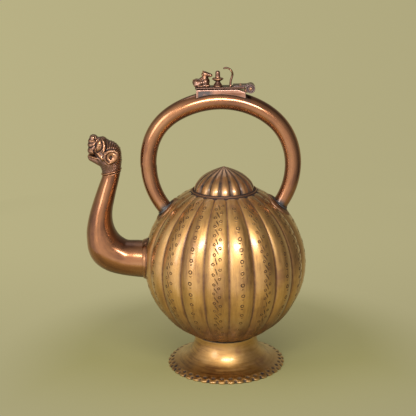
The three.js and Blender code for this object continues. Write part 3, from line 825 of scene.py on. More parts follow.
def furrows(q, lines):
    """Relief of drawn lines, each with its height, its width and its points."""
    return sum(height * bump(line_distance(q, points), width) for height, width, points in lines)


def slope_of(field, p):
    step = 0.05
    sides = [(field(p + step * axis) - field(p - step * axis)) / (2 * step) for axis in np.eye(3)]
    return np.stack(sides, 1)


def fineness(full):
    """Grid step of a sculpted form."""
    return full


def sculpted(name, low, high, step, field, relief=None):
    """A mesh on the zero of a field, with chased relief pushed along its normals."""
    refinements, flattest, cell_corners = 4, 0.05, 8
    axes = [np.arange(a, b + step, step) for a, b in zip(low, high)]
    shape = tuple(len(axis) for axis in axes)
    grid = np.stack(np.meshgrid(*axes, indexing="ij"), -1).reshape(-1, 3)
    value = field(grid).reshape(shape)
    cell = tuple(n - 1 for n in shape)
    inside = value < 0
    filled = np.zeros(cell, np.int8)
    for a in (0, 1):
        for b in (0, 1):
            for c in (0, 1):
                filled += inside[a : a + cell[0], b : b + cell[1], c : c + cell[2]]
    active = (filled > 0) & (filled < cell_corners)
    index = np.full(cell, -1)
    index[active] = np.arange(active.sum())
    sums = np.zeros(cell + (3,))
    hits = np.zeros(cell)
    quads = []
    for axis in range(3):
        order = [axis, (axis + 1) % 3, (axis + 2) % 3]
        v = np.transpose(value, order)
        cells = np.transpose(index, order)
        start, end = v[:-1], v[1:]
        crossing = (start < 0) != (end < 0)
        share = np.where(crossing, start / np.where(crossing, start - end, 1), 0)
        n = cells.shape
        s = np.transpose(sums, order + [3])
        h = np.transpose(hits, order)
        for b in (0, 1):
            for c in (0, 1):
                part = crossing[:, b : b + n[1], c : c + n[2]]
                h += part
                s[..., order[0]] += np.where(part, share[:, b : b + n[1], c : c + n[2]], 0)
                s[..., order[1]] += part * b
                s[..., order[2]] += part * c
        edge = crossing[:, 1:-1, 1:-1]
        loop = np.stack([cells[:, :-1, :-1], cells[:, 1:, :-1], cells[:, 1:, 1:], cells[:, :-1, 1:]], -1)
        rising = (start < 0)[:, 1:-1, 1:-1]
        quads.append(loop[edge & rising])
        quads.append(loop[edge & ~rising][:, ::-1])
    corner = np.argwhere(active)
    points = np.asarray(low, float) + step * (corner + sums[active] / hits[active][:, None])
    for _ in range(refinements):
        slope = slope_of(field, points)
        move = field(points) / np.maximum((slope**2).sum(1), flattest)
        points = points - np.clip(move, -step / 2, step / 2)[:, None] * slope
    if relief is not None:
        slope = slope_of(field, points)
        normal = slope / np.maximum(np.linalg.norm(slope, axis=1), 1e-6)[:, None]
        points = points + relief(points, normal)[:, None] * normal
    return mesh_from(name, points, np.vstack(quads))


# Finishes: colours are those of the thin, the usual and the thick patina, of dirty hollows and painted shade,
# and of rubbed places

FINISHES = {
    "rubbed_body_brass": {
        "colours": ("body_pale", "body_brass", "body_deep", "crease_brown", "body_pale"), "stain": "copper",
        "rough": (0.36, 0.50), "streaks": (330.0, 330.0, 28.0),
        "dirt_gain": 0.95, "rub_gain": 0.55, "pit": 0.16, "gloss": 0.24,
    },
    "chased_brass": {
        "colours": ("body_pale", "body_brass", "body_deep", "punch_black", "body_pale"),
        "rough": (0.34, 0.48), "streaks": (330.0, 330.0, 28.0),
        "rub_gain": 0.4, "pit": 0.05, "wax": 0.4, "gloss": 0.3,
    },
    "sooty_dome_brass": {
        "colours": ("body_brass", "dome_warm", "copper", "soot", "body_pale"), "stain": "copper",
        "rough": (0.34, 0.48), "streaks": (330.0, 330.0, 60.0),
        "rub_gain": 0.6, "grit": 0.15, "pit": 0.06,
    },
    "copper_brass": {
        "colours": ("copper_pale", "copper", "copper_deep", "copper_dirt", "copper_pale"),
        "stain": "body_deep", "rough": (0.19, 0.27), "streaks": (420.0, 420.0, 22.0),
        "dirt_gain": 0.9, "rub_gain": 0.6, "grit": 0.14, "pit": 0.01, "wax": 0.5, "gloss": 0.12,
    },
    "brown_plate": {
        "colours": ("body_deep", "plate_brown", "copper_deep", "soot", "plate_rubbed"), "stain": "body_deep",
        "rough": (0.48, 0.62), "streaks": (260.0, 260.0, 260.0),
        "rub_gain": 0.35, "grit": 0.35, "pit": 0.08, "wax": 0.25, "gloss": 0.35,
    },
    "worn_saddle": {
        "colours": ("saddle_pale", "saddle_worn", "copper_deep", "soot", "saddle_rubbed"),
        "rough": (0.30, 0.42), "streaks": (420.0, 420.0, 30.0),
        "rub_gain": 0.8, "grit": 0.2, "pit": 0.03, "wax": 0.5, "gloss": 0.25,
    },
    "spun_foot_brass": {
        "colours": ("body_pale", "body_brass", "body_deep", "soot", "body_pale"), "stain": "copper",
        "rough": (0.36, 0.50), "streaks": (26.0, 26.0, 380.0),
        "rub_gain": 0.6, "grit": 0.2, "pit": 0.06, "wax": 0.8, "gloss": 0.22,
    },
    "old_casting": {
        "colours": ("copper", "cast_brown", "copper_deep", "cast_dark", "cast_rubbed"),
        "rough": (0.28, 0.46), "streaks": (160.0, 160.0, 160.0),
        "dirt_gain": 1.1, "rub_gain": 0.85, "pit": 0.1, "wax": 0.65,
    },
    "oxidised_solder": {
        "colours": ("solder_pale", "solder_grey", "solder_deep", "cast_dark", "solder_rubbed"),
        "stain": "copper_deep", "rough": (0.42, 0.62), "streaks": (210.0, 210.0, 210.0),
        "dirt_gain": 0.9, "rub_gain": 0.6, "pit": 0.2, "wax": 0.2, "gloss": 0.4,
    },
    "dark_lid": {
        "colours": ("cast_brown", "lid_brown", "lid_deep", "cast_dark", "cast_brown"),
        "stain": "copper_deep", "rough": (0.36, 0.54), "streaks": (260.0, 260.0, 260.0),
        "grit": 0.12, "pit": 0.03, "wax": 0.2, "gloss": 0.4,
    },
    "purple_strap": {
        "colours": ("strap_pale", "strap_purple", "strap_deep", "cast_dark", "strap_rubbed"),
        "stain": "copper_deep", "rough": (0.40, 0.54), "streaks": (210.0, 210.0, 210.0),
        "rub_gain": 0.2, "grit": 0.12, "pit": 0.0, "wax": 0.3, "gloss": 0.4,
    },
}
DRIFT_SCALE, STAIN_SCALE, MOTTLE_SCALE, PIT_SCALE = 26.0, 42.0, 190.0, 1500.0
DIRT_ROUGHNESS, DIRT_DULLNESS = 0.22, 0.35
COAT_IOR = 1.65
PIT_DEPTH = 0.0003


def metal(name):
    """One of the finishes, made when it is first asked for."""
    return bpy.data.materials.get(name) or aged_metal(name, **FINISHES[name])


def aged_metal(
    name, colours, rough, streaks, stain=None,
    dirt_gain=1.0, rub_gain=0.5, grit=0.22, pit=0.12, wax=1.0, gloss=0.2,
):
    """Old metal: drifting patina, streaks along the grain, dirty hollows, painted shade, rubbed ridges, tin,
    fine pits.
    """
    pale, middle, deep, dirt, rubbed = (tone(colour_name) for colour_name in colours)
    material = bpy.data.materials.new(name)
    material.use_nodes = True
    tree = material.node_tree
    spot = out(tree, "ShaderNodeTexCoord", output="Object")
    grain = out(tree, "ShaderNodeAttribute", output="Vector", attribute_name="grain")
    hollow, ridge, tin = (
        out(tree, "ShaderNodeAttribute", output="Fac", attribute_name=kind)
        for kind in ("hollow", "ridge", "tin")
    )

    def noise(place, scale, detail, roughness=0.6):
        inputs = {"Vector": place, "Scale": scale, "Detail": detail, "Roughness": roughness}
        return out(tree, "ShaderNodeTexNoise", inputs, "Fac")

    drift = noise(spot, DRIFT_SCALE, detail=5.0)
    mottle = noise(spot, MOTTLE_SCALE, detail=4.0)
    along_grain = out(tree, "ShaderNodeMapping", {"Vector": grain, "Scale": streaks})
    streak = noise(along_grain, 1.0, detail=4.0, roughness=0.65)
    pits = noise(spot, PIT_SCALE, detail=3.0, roughness=0.7)
    blend = streak * 0.45 + drift * 0.55
    patina = blend.ramp(0.36, 0.52).mix(deep, middle)
    patina = blend.ramp(0.5, 0.66).mix(patina, pale)
    patina = mottle.ramp(0.52, 0.72, to_high=grit).mix(patina, deep)
    patina = pits.ramp(0.52, 0.7, to_high=1.2 * pit).mix(patina, deep)
    if stain is not None:
        stained = noise(spot, STAIN_SCALE, detail=3.0).ramp(0.6, 0.74, to_high=0.6)
        patina = stained.mix(patina, tone(stain))
    rub = ridge.ramp(0.15, 0.85, to_high=rub_gain) * mottle.ramp(0.3, 0.6, to_low=0.55)
    patina = rub.mix(patina, rubbed)
    patina = (tin * mottle.ramp(0.2, 0.42)).mix(patina, tone("solder_grey"))
    # The hollow attribute carries dirty recesses and the painted shade that the pieces store in it; both take
    # the dark colour.
    grime = hollow.ramp(0.05, 0.7, to_high=dirt_gain) * mottle.ramp(0.3, 0.65, to_low=1.0, to_high=0.75)
    grime = grime.at_most(1.0)
    satin = (streak * 0.5 + mottle * 0.5).ramp(0.38, 0.64, *rough)
    height = mottle * 0.6 + pits * 0.35 + streak * 0.5
    feed(tree.nodes["Principled BSDF"], {
        "Base Color": grime.mix(patina, dirt),
        "Roughness": grime * DIRT_ROUGHNESS + satin,
        "Metallic": 1.0 - grime * DIRT_DULLNESS,
        "Coat Weight": wax - grime * wax,
        "Coat Roughness": gloss,
        "Coat IOR": COAT_IOR,
        "Normal": out(tree, "ShaderNodeBump", {"Height": height, "Strength": pit, "Distance": PIT_DEPTH}),
    })
    return material


# Operators


class EWER_OT_body(bpy.types.Operator):
    """Lobed body with its inner wall"""

    bl_idname = "ewer.body"
    bl_label = "Lobed body"

    under_collar = 3.1
    columns_per_lobe = 24
    crease_soil = 3.4
    grime, grime_height = 0.95, 54
    seat_grime, seat_height = 1.7, 1.1

    def execute(self, context):
        radius, wall, centre, seat = mm("body_radius"), mm("body_wall"), body_centre(), mm("foot_height")
        bore, floor = radius - wall, seat + wall
        low = -math.acos(mm("seat_radius") / radius)
        high = math.acos((mm("mouth_radius") - self.under_collar) / radius)
        inner_high = math.asin(radius * math.sin(high) / bore)
        inner_low = -math.asin((centre - floor) / bore)
        profile = np.vstack([
            [[0, seat]],
            arc((0, centre), radius, low, high, steps=134),
            arc((0, centre), bore, inner_high, inner_low, steps=22),
            [[0, floor]],
        ])
        mesh = turned(
            "body_shell", profile, metal("rubbed_body_brass"), self.columns_per_lobe * number("lobes"),
            number("lobes"), number("lobe_phase"), number("lobe_power"),
            soil=self.crease_soil, flute=mm("lobe_depth") / radius,
        )
        over_seat = points_of(mesh)[:, 2] - seat
        # Painted shade low on the body, fading out upwards, and painted shade where the body meets the foot.
        raise_to(mesh, "hollow", self.grime * np.clip(1 - over_seat / self.grime_height, 0, 1))
        raise_to(mesh, "hollow", np.clip(self.seat_grime - over_seat / self.seat_height, 0, 1))
        settle(
            "body_shell", mesh, metal("rubbed_body_brass"), "vessel", "body_brass",
            "body_lower_half", "body_upper_half",
        )
        return {"FINISHED"}


def groove(line, closed, half):
    """A punched line in the XY plane: two low lips with a dark furrow between them."""
    blunt, fullness = 0.12, 1.5
    path = np.asarray(line, float)
    if closed:
        ahead = np.roll(path, -1, 0) - np.roll(path, 1, 0)
    else:
        ahead = np.gradient(path, axis=0)
    ahead /= np.linalg.norm(ahead, axis=1)[:, None]
    side = np.stack([-ahead[:, 1], ahead[:, 0]], 1)
    steps = len(path)
    taper = np.ones(steps)
    if not closed:
        taper = np.clip(np.sin(np.linspace(blunt, math.pi - blunt, steps)) * fullness, 0, 1)
    offsets = np.array([-1.0, -0.56, 0.0, 0.56, 1.0]) * half
    heights = np.array([-0.1, 0.1, 0.03, 0.1, -0.1])
    wide = len(offsets)
    flat = path[:, None, :] + side[:, None, :] * offsets[None, :, None] * taper[:, None, None]
    points = np.concatenate([flat, np.broadcast_to(heights, (steps, wide))[..., None]], -1).reshape(-1, 3)
    i, j = np.meshgrid(np.arange(steps if closed else steps - 1), np.arange(wide - 1), indexing="ij")
    here, beyond = i * wide + j, (i + 1) % steps * wide + j
    quads = np.stack([here + 1, beyond + 1, beyond, here], -1).reshape(-1, 4)
    dirt = np.tile([0.0, 0.3, 2.6, 0.3, 0.0], steps)
    # Painted highlight on the lips, stored as a ridge.
    shine = np.tile([0.0, 0.5, 0.0, 0.5, 0.0], steps)
    return points, quads, dirt, shine


def punch_mark(name, *grooves):
    """One mesh of several punched lines."""
    points, quads, dirt, shine = zip(*grooves)
    starts = np.cumsum([0] + [len(part) for part in points[:-1]])
    mesh = mesh_from(name, np.vstack(points), np.vstack([part + start for part, start in zip(quads, starts)]))
    attribute(mesh, "hollow", np.concatenate(dirt))
    attribute(mesh, "ridge", np.concatenate(shine))
    return mesh


class EWER_OT_chasing(bpy.types.Operator):
    """Punched circles and vines on alternate lobes"""

    bl_idname = "ewer.chasing"
    bl_label = "Chased lobes"

    wander = 0.35
    circle_radius, berry_radius = 1.4, 1.1

    def execute(self, context):
        circle = punch_mark(
            "circle_punch",
            groove(ring_line(0, 0, self.circle_radius, 12), True, 0.85),
            groove(arc((0, -1.3), 2.5, -2.1, -1.04, 4), False, 0.8),
        )
        vine = punch_mark(
            "vine_punch",
            groove(ring_line(2.9, 2.1, self.berry_radius, 9), True, 0.78),
            groove(ring_line(-2.3, -2.9, self.berry_radius, 9), True, 0.78),
            groove(spline([(-1.6, 3.3), (-0.7, 1.3), (0.4, -0.8), (1.1, -3.1)], 6), False, 0.95),
        )
        radius = mm("body_radius")
        shared = {
            "Flutes": number("lobes"), "Radius": radius * MM, "Centre": body_centre() * MM,
            "Depth": mm("lobe_depth") / radius, "Phase": number("lobe_phase"), "Power": number("lobe_power"),
            "Wander": self.wander * MM, "Finish": metal("chased_brass"),
        }
        for name, seed, first, rows, low, high, salt in (
            ("chased_circles", circle, 0, 16, -1.12, 1.04, 11),
            ("chased_vines", vine, 1, 19, -1.13, 1.06, 29),
        ):
            values = {"First": first, "Rows": rows, "Lowest": low, "Highest": high, "Seed": salt}
            mesh = grown(name, seed, chasing_tree(), {**shared, **values})
            settle(name, mesh, metal("chased_brass"), "vessel", "body_brass")
        return {"FINISHED"}


class EWER_OT_foot(bpy.types.Operator):
    """Trumpet foot with its crimped, dimpled rim"""

    bl_idname = "ewer.foot"
    bl_label = "Trumpet foot"

    seat_width = 5.5
    rim_width = 9
    knee_share, edge_rise = 0.37, 0.55
    columns_per_scallop = 12
    # Painted shadow in the gaps between the crimps.
    crimp_power, crimp_soil = 0.8, 1.0
    crimp_start, crimp_width = 2.2, 2.6
    dimple_depth, dimple_place, dimple_width = 0.8, 1.3, 1.35
    seat_grime, grime_fade = 1.6, 0.7

    def execute(self, context):
        height, neck, wall, rim = mm("foot_height"), mm("foot_neck"), mm("foot_wall"), mm("foot_rim")
        thick, flare_end = mm("rim_thickness"), rim - mm("foot_lip")
        seat = mm("seat_radius") - self.seat_width
        knee = neck + self.knee_share * (flare_end - neck)
        edge = thick + self.edge_rise
        inside = neck - wall
        flare = [(neck, height - 0.6), (neck, height * 0.55), (knee, thick * 1.9), (flare_end, edge)]
        lip = spline([
            (flare_end, edge), (flare_end + 1.5, edge - 0.6), (flare_end + 3.0, edge - 1.25),
            (flare_end + 4.4, edge - 2.0), (rim - 0.35, thick * 0.5), (rim, thick * 0.33),
            (rim - 0.15, thick * 0.15), (rim - 0.8, 0.02),
        ], 30)
        bore = rim - self.rim_width
        under = [(bore, 0), (knee - 2, thick), (inside, height * 0.5), (inside, height - wall)]
        profile = np.vstack([
            [[seat, height]],
            [[neck - 0.9, height]],
            [[neck - 0.25, height - 0.15]],
            bezier(flare, steps=40),
            lip[1:],
            [[rim - 2.5, 0]],
            bezier(under, steps=22),
            [[seat, height - wall]],
            [[seat, height]],
        ])
        radius, level = profile.T
        on_lip = (radius > flare_end - 2) & (level < edge + 1)
        crimp = np.clip((radius - flare_end - self.crimp_start) / self.crimp_width, 0, 1)
        flute = np.where(on_lip, crimp, 0)
        dimple = bump(radius - flare_end - self.dimple_place, self.dimple_width)
        dent = np.where(on_lip & (level > thick * 0.45), dimple, 0)
        mesh = turned(
            "foot_trumpet", profile, metal("spun_foot_brass"), self.columns_per_scallop * number("scallops"),
            number("scallops"), power=self.crimp_power, soil=self.crimp_soil,
            flute=flute * mm("scallop_depth") / rim, dent=dent * self.dimple_depth,
        )
        over_seat = points_of(mesh)[:, 2] - height
        # Painted shade at the top of the foot, where the body sits on it.
        raise_to(mesh, "hollow", np.clip((over_seat + self.seat_grime) / self.grime_fade, 0, 1))
        weather(mesh, passes=10, depth=0.5)
        settle("foot_trumpet", mesh, metal("spun_foot_brass"), "vessel", "body_brass", "foot")
        return {"FINISHED"}


class EWER_OT_dome(bpy.types.Operator):
    """Petalled dome and the moulded collar round it"""

    bl_idname = "ewer.dome"
    bl_label = "Dome and collar"

    columns_per_petal = 20
    petal_power, petal_soil, groove_share = 0.72, 0.8, 1.25
    soot, soot_height = 2.4, 0.9
    collar_columns = 128
    bead_offset, bead_level, bead_radius = 1.9, 2.35, 0.75
    bead_clean, bead_fade = 0.55, 0.35

    def execute(self, context):
        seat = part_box("dome_cap")[0].z / MM
        self.collar(seat)
        radius, height, wall = mm("dome_radius"), mm("dome_height"), mm("dome_wall")

        def shell(r, h, steps):
            return bezier([(r, seat), (r, seat + h * 0.5), (r * 0.5, seat + h * 0.8), (0, seat + h)], steps)

        inner = shell(radius - wall, height - wall, steps=14)
        profile = np.vstack([shell(radius, height, steps=56), inner[::-1], [[radius, seat]]])
        mesh = turned(
            "dome_petals", profile, metal("sooty_dome_brass"), self.columns_per_petal * number("petals"),
            number("petals"), number("petal_phase"), power=self.petal_power, soil=self.petal_soil,
            flute=self.groove_share * mm("petal_depth") / radius,
        )
        over_seat = points_of(mesh)[:, 2] - seat
        # Painted shade at the foot of the petals, where the dome sits in the collar.
        raise_to(mesh, "hollow", np.clip(self.soot - over_seat / self.soot_height, 0, 1))
        weather(mesh, passes=4, depth=0.35)
        settle("dome_petals", mesh, metal("sooty_dome_brass"), "vessel", "body_brass", "dome_cap")
        return {"FINISHED"}

    def collar(self, seat):
        base, radius, outside = body_top(), mm("dome_radius"), mm("collar_radius")
        bore = radius - 1.5 * mm("dome_wall")
        bead = radius + self.bead_offset
        step = [(outside - 1.6, base + 0.5), (outside - 2.0, base + 1.2), (outside - 2.6, base + 1.5)]
        profile = np.vstack([
            [[bore, base]],
            [[outside - 1.6, base]],
            spline(step, steps=8),
            spline([(outside - 2.9, base + 1.5), (outside - 3.2, base + 1.6)], 3),
            arc((bead, base + self.bead_level), self.bead_radius, -0.75, 3.9, steps=18),
            spline([(radius + 0.95, base + 2.1), (radius + 0.5, base + 2.5), (radius + 0.1, base + 3.6)], 6),
            [[radius - 0.5, base + 3.6]],
            [[bore, seat]],
            [[bore, base]],
        ])
        mesh = turned("collar_ring", profile, metal("brown_plate"), self.collar_columns)
        off_bead = np.abs(reach_of(mesh) - bead) - self.bead_clean
        attribute(mesh, "hollow", np.clip(off_bead / self.bead_fade, 0, 1))
        weather(mesh, passes=6, depth=0.14)
        settle("collar_ring", mesh, metal("brown_plate"), "vessel", "body_brass", "dome_collar")


def spout_edges():
    """Points inside and outside the bend, in pairs as (x, z, x, z), from the body to the head."""
    x, z = neck_place()
    rise, root = body_centre() + mm("spout_rise"), mm("spout_root") - 0.7
    start = -(mm("body_radius") - mm("lobe_depth") - mm("body_wall"))
    top = z - rise
    edges = np.array([
        (start, root, start, -root), (-77.8, root, -77.5, -root), (-84.8, 18.2, -87.4, -16.8),
        (-92.3, 18.5, -99.8, -14.8), (-96.4, 20.5, -111.0, -11.5), (-100.2, 23.7, -120.6, -5.9),
        (-102.9, 27.8, -127.2, 1.6), (-104.8, 32.4, -130.5, 10.6), (-106.0, 37.9, -131.3, 19.9),
        (-106.2, 44.1, -131.2, 28.6), (-105.5, 50.6, -129.6, 38.0), (-103.7, 58.4, -126.7, 48.9),
        (-101.6, 67.0, -122.5, 60.9), (-99.5, 74.9, -118.6, 71.2), (x + 9.1, top + 0.4, x - 8.2, top - 1.8),
        (x + 9.7, top + 4.2, x - 7.7, top + 0.8),
    ])
    return edges + np.array([0, rise, 0, rise])


class EWER_OT_spout(bpy.types.Operator):
    """Bent spout, the flange at its root and the band under the lion's head"""

    bl_idname = "ewer.spout"
    bl_label = "Spout"

    rows, sides = 136, 72
    # Painted shade inside the spout's bend and on its underside.
    bend_soil, under_soil = 0.75, 0.6
    flange_sides, band_sides, band_beads = 160, 96, 14
    band_middle, band_radius = 1.2, 8.9
    band_level, bead_radius = 3.8, 0.95

    def execute(self, context):
        edges = spline(spout_edges(), self.rows)
        inside, outside = edges[:, :2], edges[:, 2:]
        radii = np.linalg.norm(outside - inside, axis=1) / 2
        mesh = swept(
            "spout_pipe", (inside + outside) / 2, radii, radii, self.sides, mm("spout_wall"),
            shade=self.bend_soil, facing=(outside - inside) / (2 * radii[:, None]),
        )
        weather(mesh, passes=3, depth=1.5)
        soil_below(mesh, self.under_soil)
        settle("spout_pipe", mesh, metal("copper_brass"), "vessel", "warm_brass", "spout_tube")
        self.flange()
        self.band()
        return {"FINISHED"}

    def flange(self):
        """A flared ring whose wide edge follows the lobes of the body."""
        radius, root, rise, sides = mm("body_radius"), mm("spout_root"), mm("spout_rise"), self.flange_sides
        angle = np.arange(sides) * TURN / sides

        def wall_at(rho):
            y, z = rho * np.cos(angle), rho * np.sin(angle) + rise
            level = np.sqrt(np.maximum(radius**2 - z**2, 0))
            share = 1 - lobe_fall(-math.pi / 2 - np.arctan2(y, radius))
            return -np.sqrt(np.maximum((level * share) ** 2 - y**2, 0))

        left = -radius - 1.0
        skirt = mm("flange_radius") - 1.3
        flat = np.zeros(sides)
        section = [
            (root - 1.2, flat + left + 0.7, 1),
            (root - 0.75, flat + left + 0.1, 1),
            (root - 0.35, flat + left, 0.6),
            (root + 0.05, flat + left + 0.12, 0.1),
            (root + 0.3, flat + left + 0.45, 0),
            (root + 0.9, 0.55 * (left + 0.45) + 0.45 * wall_at(skirt), 0),
            (skirt - 0.3, wall_at(skirt - 0.3) - 0.75, 0.3),
            (skirt, wall_at(skirt) - 0.4, 1),
            (skirt + 0.15, wall_at(skirt + 0.15), 1),
            (skirt + 0.2, wall_at(skirt + 0.2) + 1.5, 1),
            (root - 1.2, wall_at(root - 1.2) + 1.5, 1),
        ]
        height = body_centre() + rise
        mesh = ring_mesh("spout_flange_ring", np.stack([
            np.stack([x, rho * np.cos(angle), height + rho * np.sin(angle)], 1) for rho, x, _ in section
        ]))
        attribute(mesh, "hollow", np.repeat([soil for _, _, soil in section], sides))
        weather(mesh, passes=3, depth=0.25)
        settle("spout_flange_ring", mesh, metal("copper_brass"), "vessel", "warm_brass", "spout_flange")

    def band(self):
        """A bead round the neck, on a plane that rises towards the back of the head."""
        x, z = neck_place()
        angle = np.arange(self.band_sides) * TURN / self.band_sides
        section = ring_line(self.band_radius, self.band_level, self.bead_radius, self.band_beads)
        along = self.band_middle + np.outer(section[:, 0], np.cos(angle))
        across = np.outer(section[:, 0], np.sin(angle))
        points = np.stack([along, across, section[:, 1:] + BAND_SLOPE * along], -1)
        mesh = ring_mesh("neck_ring", points + np.array([x, 0, z]))
        weather(mesh, passes=3, depth=0.3)
        settle("neck_ring", mesh, metal("copper_brass"), "vessel", "dark_brass", "spout_neck_band")


class EWER_OT_lion(bpy.types.Operator):
    """Lion head at the spout's mouth"""

    bl_idname = "ewer.lion"
    bl_label = "Lion head"

    low, high = (-22.0, -15.5, -2.2), (13.5, 15.5, 41.0)
    eye = (-8.6, 30.0)
    eye_size = (2.7, 6.0)
    eye_lean = 0.2
    ear = [
        (-3.2, 19.6), (-2.6, 22.8), (-0.6, 24.8), (1.9, 25.7), (5.6, 25.6), (8.2, 23.8), (8.3, 20.8),
        (7.0, 18.0), (4.1, 15.7), (0.2, 13.9), (-2.0, 16.0), (-3.2, 19.6),
    ]
    brow = [(-9.0, 38.0), (-6.2, 35.4), (-3.9, 33.4), (-3.3, 30.2), (-3.8, 27.0), (-4.5, 24.2)]
    cheek = [(-12.2, 27.4), (-11.0, 24.0), (-8.8, 21.7), (-6.9, 19.7), (-5.6, 18.0)]
    wrinkles = [
        (1.0, 1.05, brow),
        (-0.7, 0.65, [(x + 2.0, z) for x, z in brow]),
        (1.25, 1.5, cheek),
        (-0.9, 0.6, [(x - 2.0, z - 1.6) for x, z in cheek]),
        (-0.9, 0.6, [(-12.4, 37.4), (-12.0, 33.0), (-12.7, 29.4), (-13.4, 25.4)]),
        (-0.45, 0.5, [(-18.4, 35.8), (-14.4, 35.2), (-12.4, 36.0)]),
        (-0.3, 0.45, [(-19.0, 32.2), (-15.8, 32.0), (-13.4, 33.4)]),
        (-0.4, 0.5, [(-19.4, 27.8), (-16.4, 28.2), (-13.8, 29.6)]),
        (-0.8, 0.55, [(-20.4, 21.0), (-16.2, 20.6), (-12.4, 19.4)]),
    ]
    whiskers = [
        (-0.3, 0.3, [(-18.2 + 0.5 * k, 26.4 - 1.3 * k), (-14.8 + 0.5 * k, 26.9 - 1.3 * k)]) for k in range(4)
    ]

    def execute(self, context):
        step = fineness(full=0.36)
        mesh = sculpted("lion_head", self.low, self.high, step, self.field, self.relief)
        weather(mesh, passes=10, depth=0.3)
        self.polish(mesh)
        shift(mesh, *neck_place())
        settle("lion_head", mesh, metal("old_casting"), "vessel", "dark_brass", "spout_head")
        return {"FINISHED"}

    def field(self, p):
        q = folded(p)
        collar = limb(q, (1.1, 0, -2), (1.3, 0, 6), 8.4, 8.9)
        nape = limb(q, (1.3, 0, 6), (0.6, 0, 13), 8.9, 10.9)
        level = q[:, 2] - BAND_SLOPE * q[:, 0]
        seam = np.maximum(np.abs(level - 2.4) - 0.45, 8.2 - np.hypot(q[:, 0] - 1.1, q[:, 1]))
        neck = np.maximum(carve(merge(collar, nape, 1.0), seam, 0.2), 1.2 - level)
        skull = egg(q, (-1.2, 0, 20.5), (12.4, 11.2, 13.2))
        forehead = egg(q, (-6.3, 0, 29.2), (6.4, 9.0, 8.1))
        core = egg(q, (-12.2, 0, 28.6), (6.4, 6.8, 8.8))
        whole = merge_all(2.2, neck, skull, forehead, core)
        pads = [
            egg(q, (-15.2, 3.2, 24.9), (4.8, 4.6, 4.1)),
            egg(q, (-15.6, 2.6, 30.2), (4.2, 4.0, 3.3)),
            egg(q, (-15.2, 2.4, 34.0), (4.0, 3.6, 2.5)),
            egg(q, (-14.5, 1.6, 37.0), (3.3, 3.0, 2.2)),
        ]
        whole = merge_all(1.5, whole, *pads)
        jaw = limb(q, (-8.5, 2.6, 13.6), (-16.8, 2.6, 17.0), 3.8, 2.6)
        chin = egg(q, (-17.8, 0, 18.0), (3.0, 4.8, 2.0), 0.5)
        lip = roll(q, [(-19.8, 0, 19.4), (-18.8, 3.6, 19.7), (-15.2, 6.0, 19.0), (-11.4, 6.8, 17.8)], 1.0)
        whole = merge(whole, merge(merge(jaw, chin, 1.6), lip, 0.6), 1.2)
        slit = np.abs(q[:, 2] - 20.9 + 0.16 * (q[:, 0] + 20)) - 0.12
        whole = carve(whole, np.maximum(slit, q[:, 0] + 13.5), 0.5)
        whole = carve(whole, limb(q, (-24, 0, 21.2), (-9, 0, 19.6), 2.4, 2.4), 0.4)
        ear = egg(q, (2.7, 10.4, 19.9), (6.3, 2.5, 6.0), 0.35)
        rim = roll(q, [(x, 12.0 - 0.16 * (x - 1), z) for x, z in self.ear], 1.15)
        ear = merge(ear, rim, 1.2)
        ear = carve(ear, egg(q, (2.6, 14.7, 20.3), (4.6, 3.0, 4.5), 0.3), 0.5)
        ear = carve(ear, egg(q, (2.3, 12.3, 19.7), (1.3, 2.6, 2.0), 0.3), 0.35)
        whole = merge(whole, ear, 0.6)
        (x, z), (wide, tall) = self.eye, self.eye_size
        return merge(whole, egg(q, (x, 6.7, z), (wide, 2.7, tall * 0.9), self.eye_lean), 0.35)

    def almond(self, q):
        """Grows from nothing in the middle of the eye to one on its rim; also the two directions."""
        c, s = math.cos(self.eye_lean), math.sin(self.eye_lean)
        dx, dz = q[:, 0] - self.eye[0], q[:, 2] - self.eye[1]
        u, v = (c * dx - s * dz) / self.eye_size[0], (s * dx + c * dz) / self.eye_size[1]
        return np.abs(u) + v**2, u, v

    def relief(self, p, normal):
        q = folded(p)
        x, y, z = q.T
        side = np.clip(np.abs(normal[:, 1]) * 1.8 - 0.35, 0, 1) * (y > 3.5)
        almond, u, v = self.almond(q)
        lids = -0.8 * bump(almond - 1.15, 0.2) + 0.55 * bump(almond - 1.6, 0.24)
        iris = -0.2 * bump(np.hypot(u, (v + 0.02) * 2.1) - 0.45, 0.16)
        in_ear = (y > 10.4) & (np.hypot(x - 2.7, z - 19.9) < 7.5)
        around_ear = -0.6 * bump(line_distance(q, self.ear) - 1.6, 0.6) * ~in_ear
        face = (lids + iris + furrows(q, self.wrinkles + self.whiskers) + around_ear) * side
        spoke = np.sin(np.arctan2(z - 19.5, x - 2.0) * 30 + 0.35 * np.hypot(x - 2.0, z - 19.5))
        weave = np.sin(4.6 * z - 2.9 * x)
        low_neck = np.clip((14.0 - z) * 0.4, 0, 1)
        hatch = np.minimum(spoke * (1 - low_neck) + weave * low_neck, 0.3)
        mane = np.clip((x + 2.6) * 0.8, 0, 1) * np.clip((z - 5.0 - BAND_SLOPE * x) * 0.8, 0, 1) * ~in_ear
        throat = np.clip((-2.6 - x) * 0.6, 0, 1) * np.clip((13.0 - z) * 0.6, 0, 1)
        return face + 0.34 * mane * hatch + 0.24 * throat * np.minimum(np.sin(3.6 * z + 1.2 * x), 0.3)

    def polish(self, mesh):
        """Marks the places that hands have rubbed bright: eyes, cheeks and ears."""
        q = folded(points_of(mesh))
        eye = np.clip(1.9 - 1.8 * self.almond(q)[0], 0, 1) * (q[:, 1] > 4)
        cheek = bump(line_distance(q, self.cheek), 1.5) * (q[:, 1] > 4)
        dish = np.clip(4.6 - 0.75 * np.hypot(q[:, 0] - 2.6, q[:, 2] - 19.9), 0, 1) * (q[:, 1] > 10.6)
        clean = 1 - np.clip(read(mesh, "hollow") * 1.4, 0, 1)
        raise_to(mesh, "ridge", 0.85 * np.maximum(np.maximum(eye, cheek), dish) * clean)


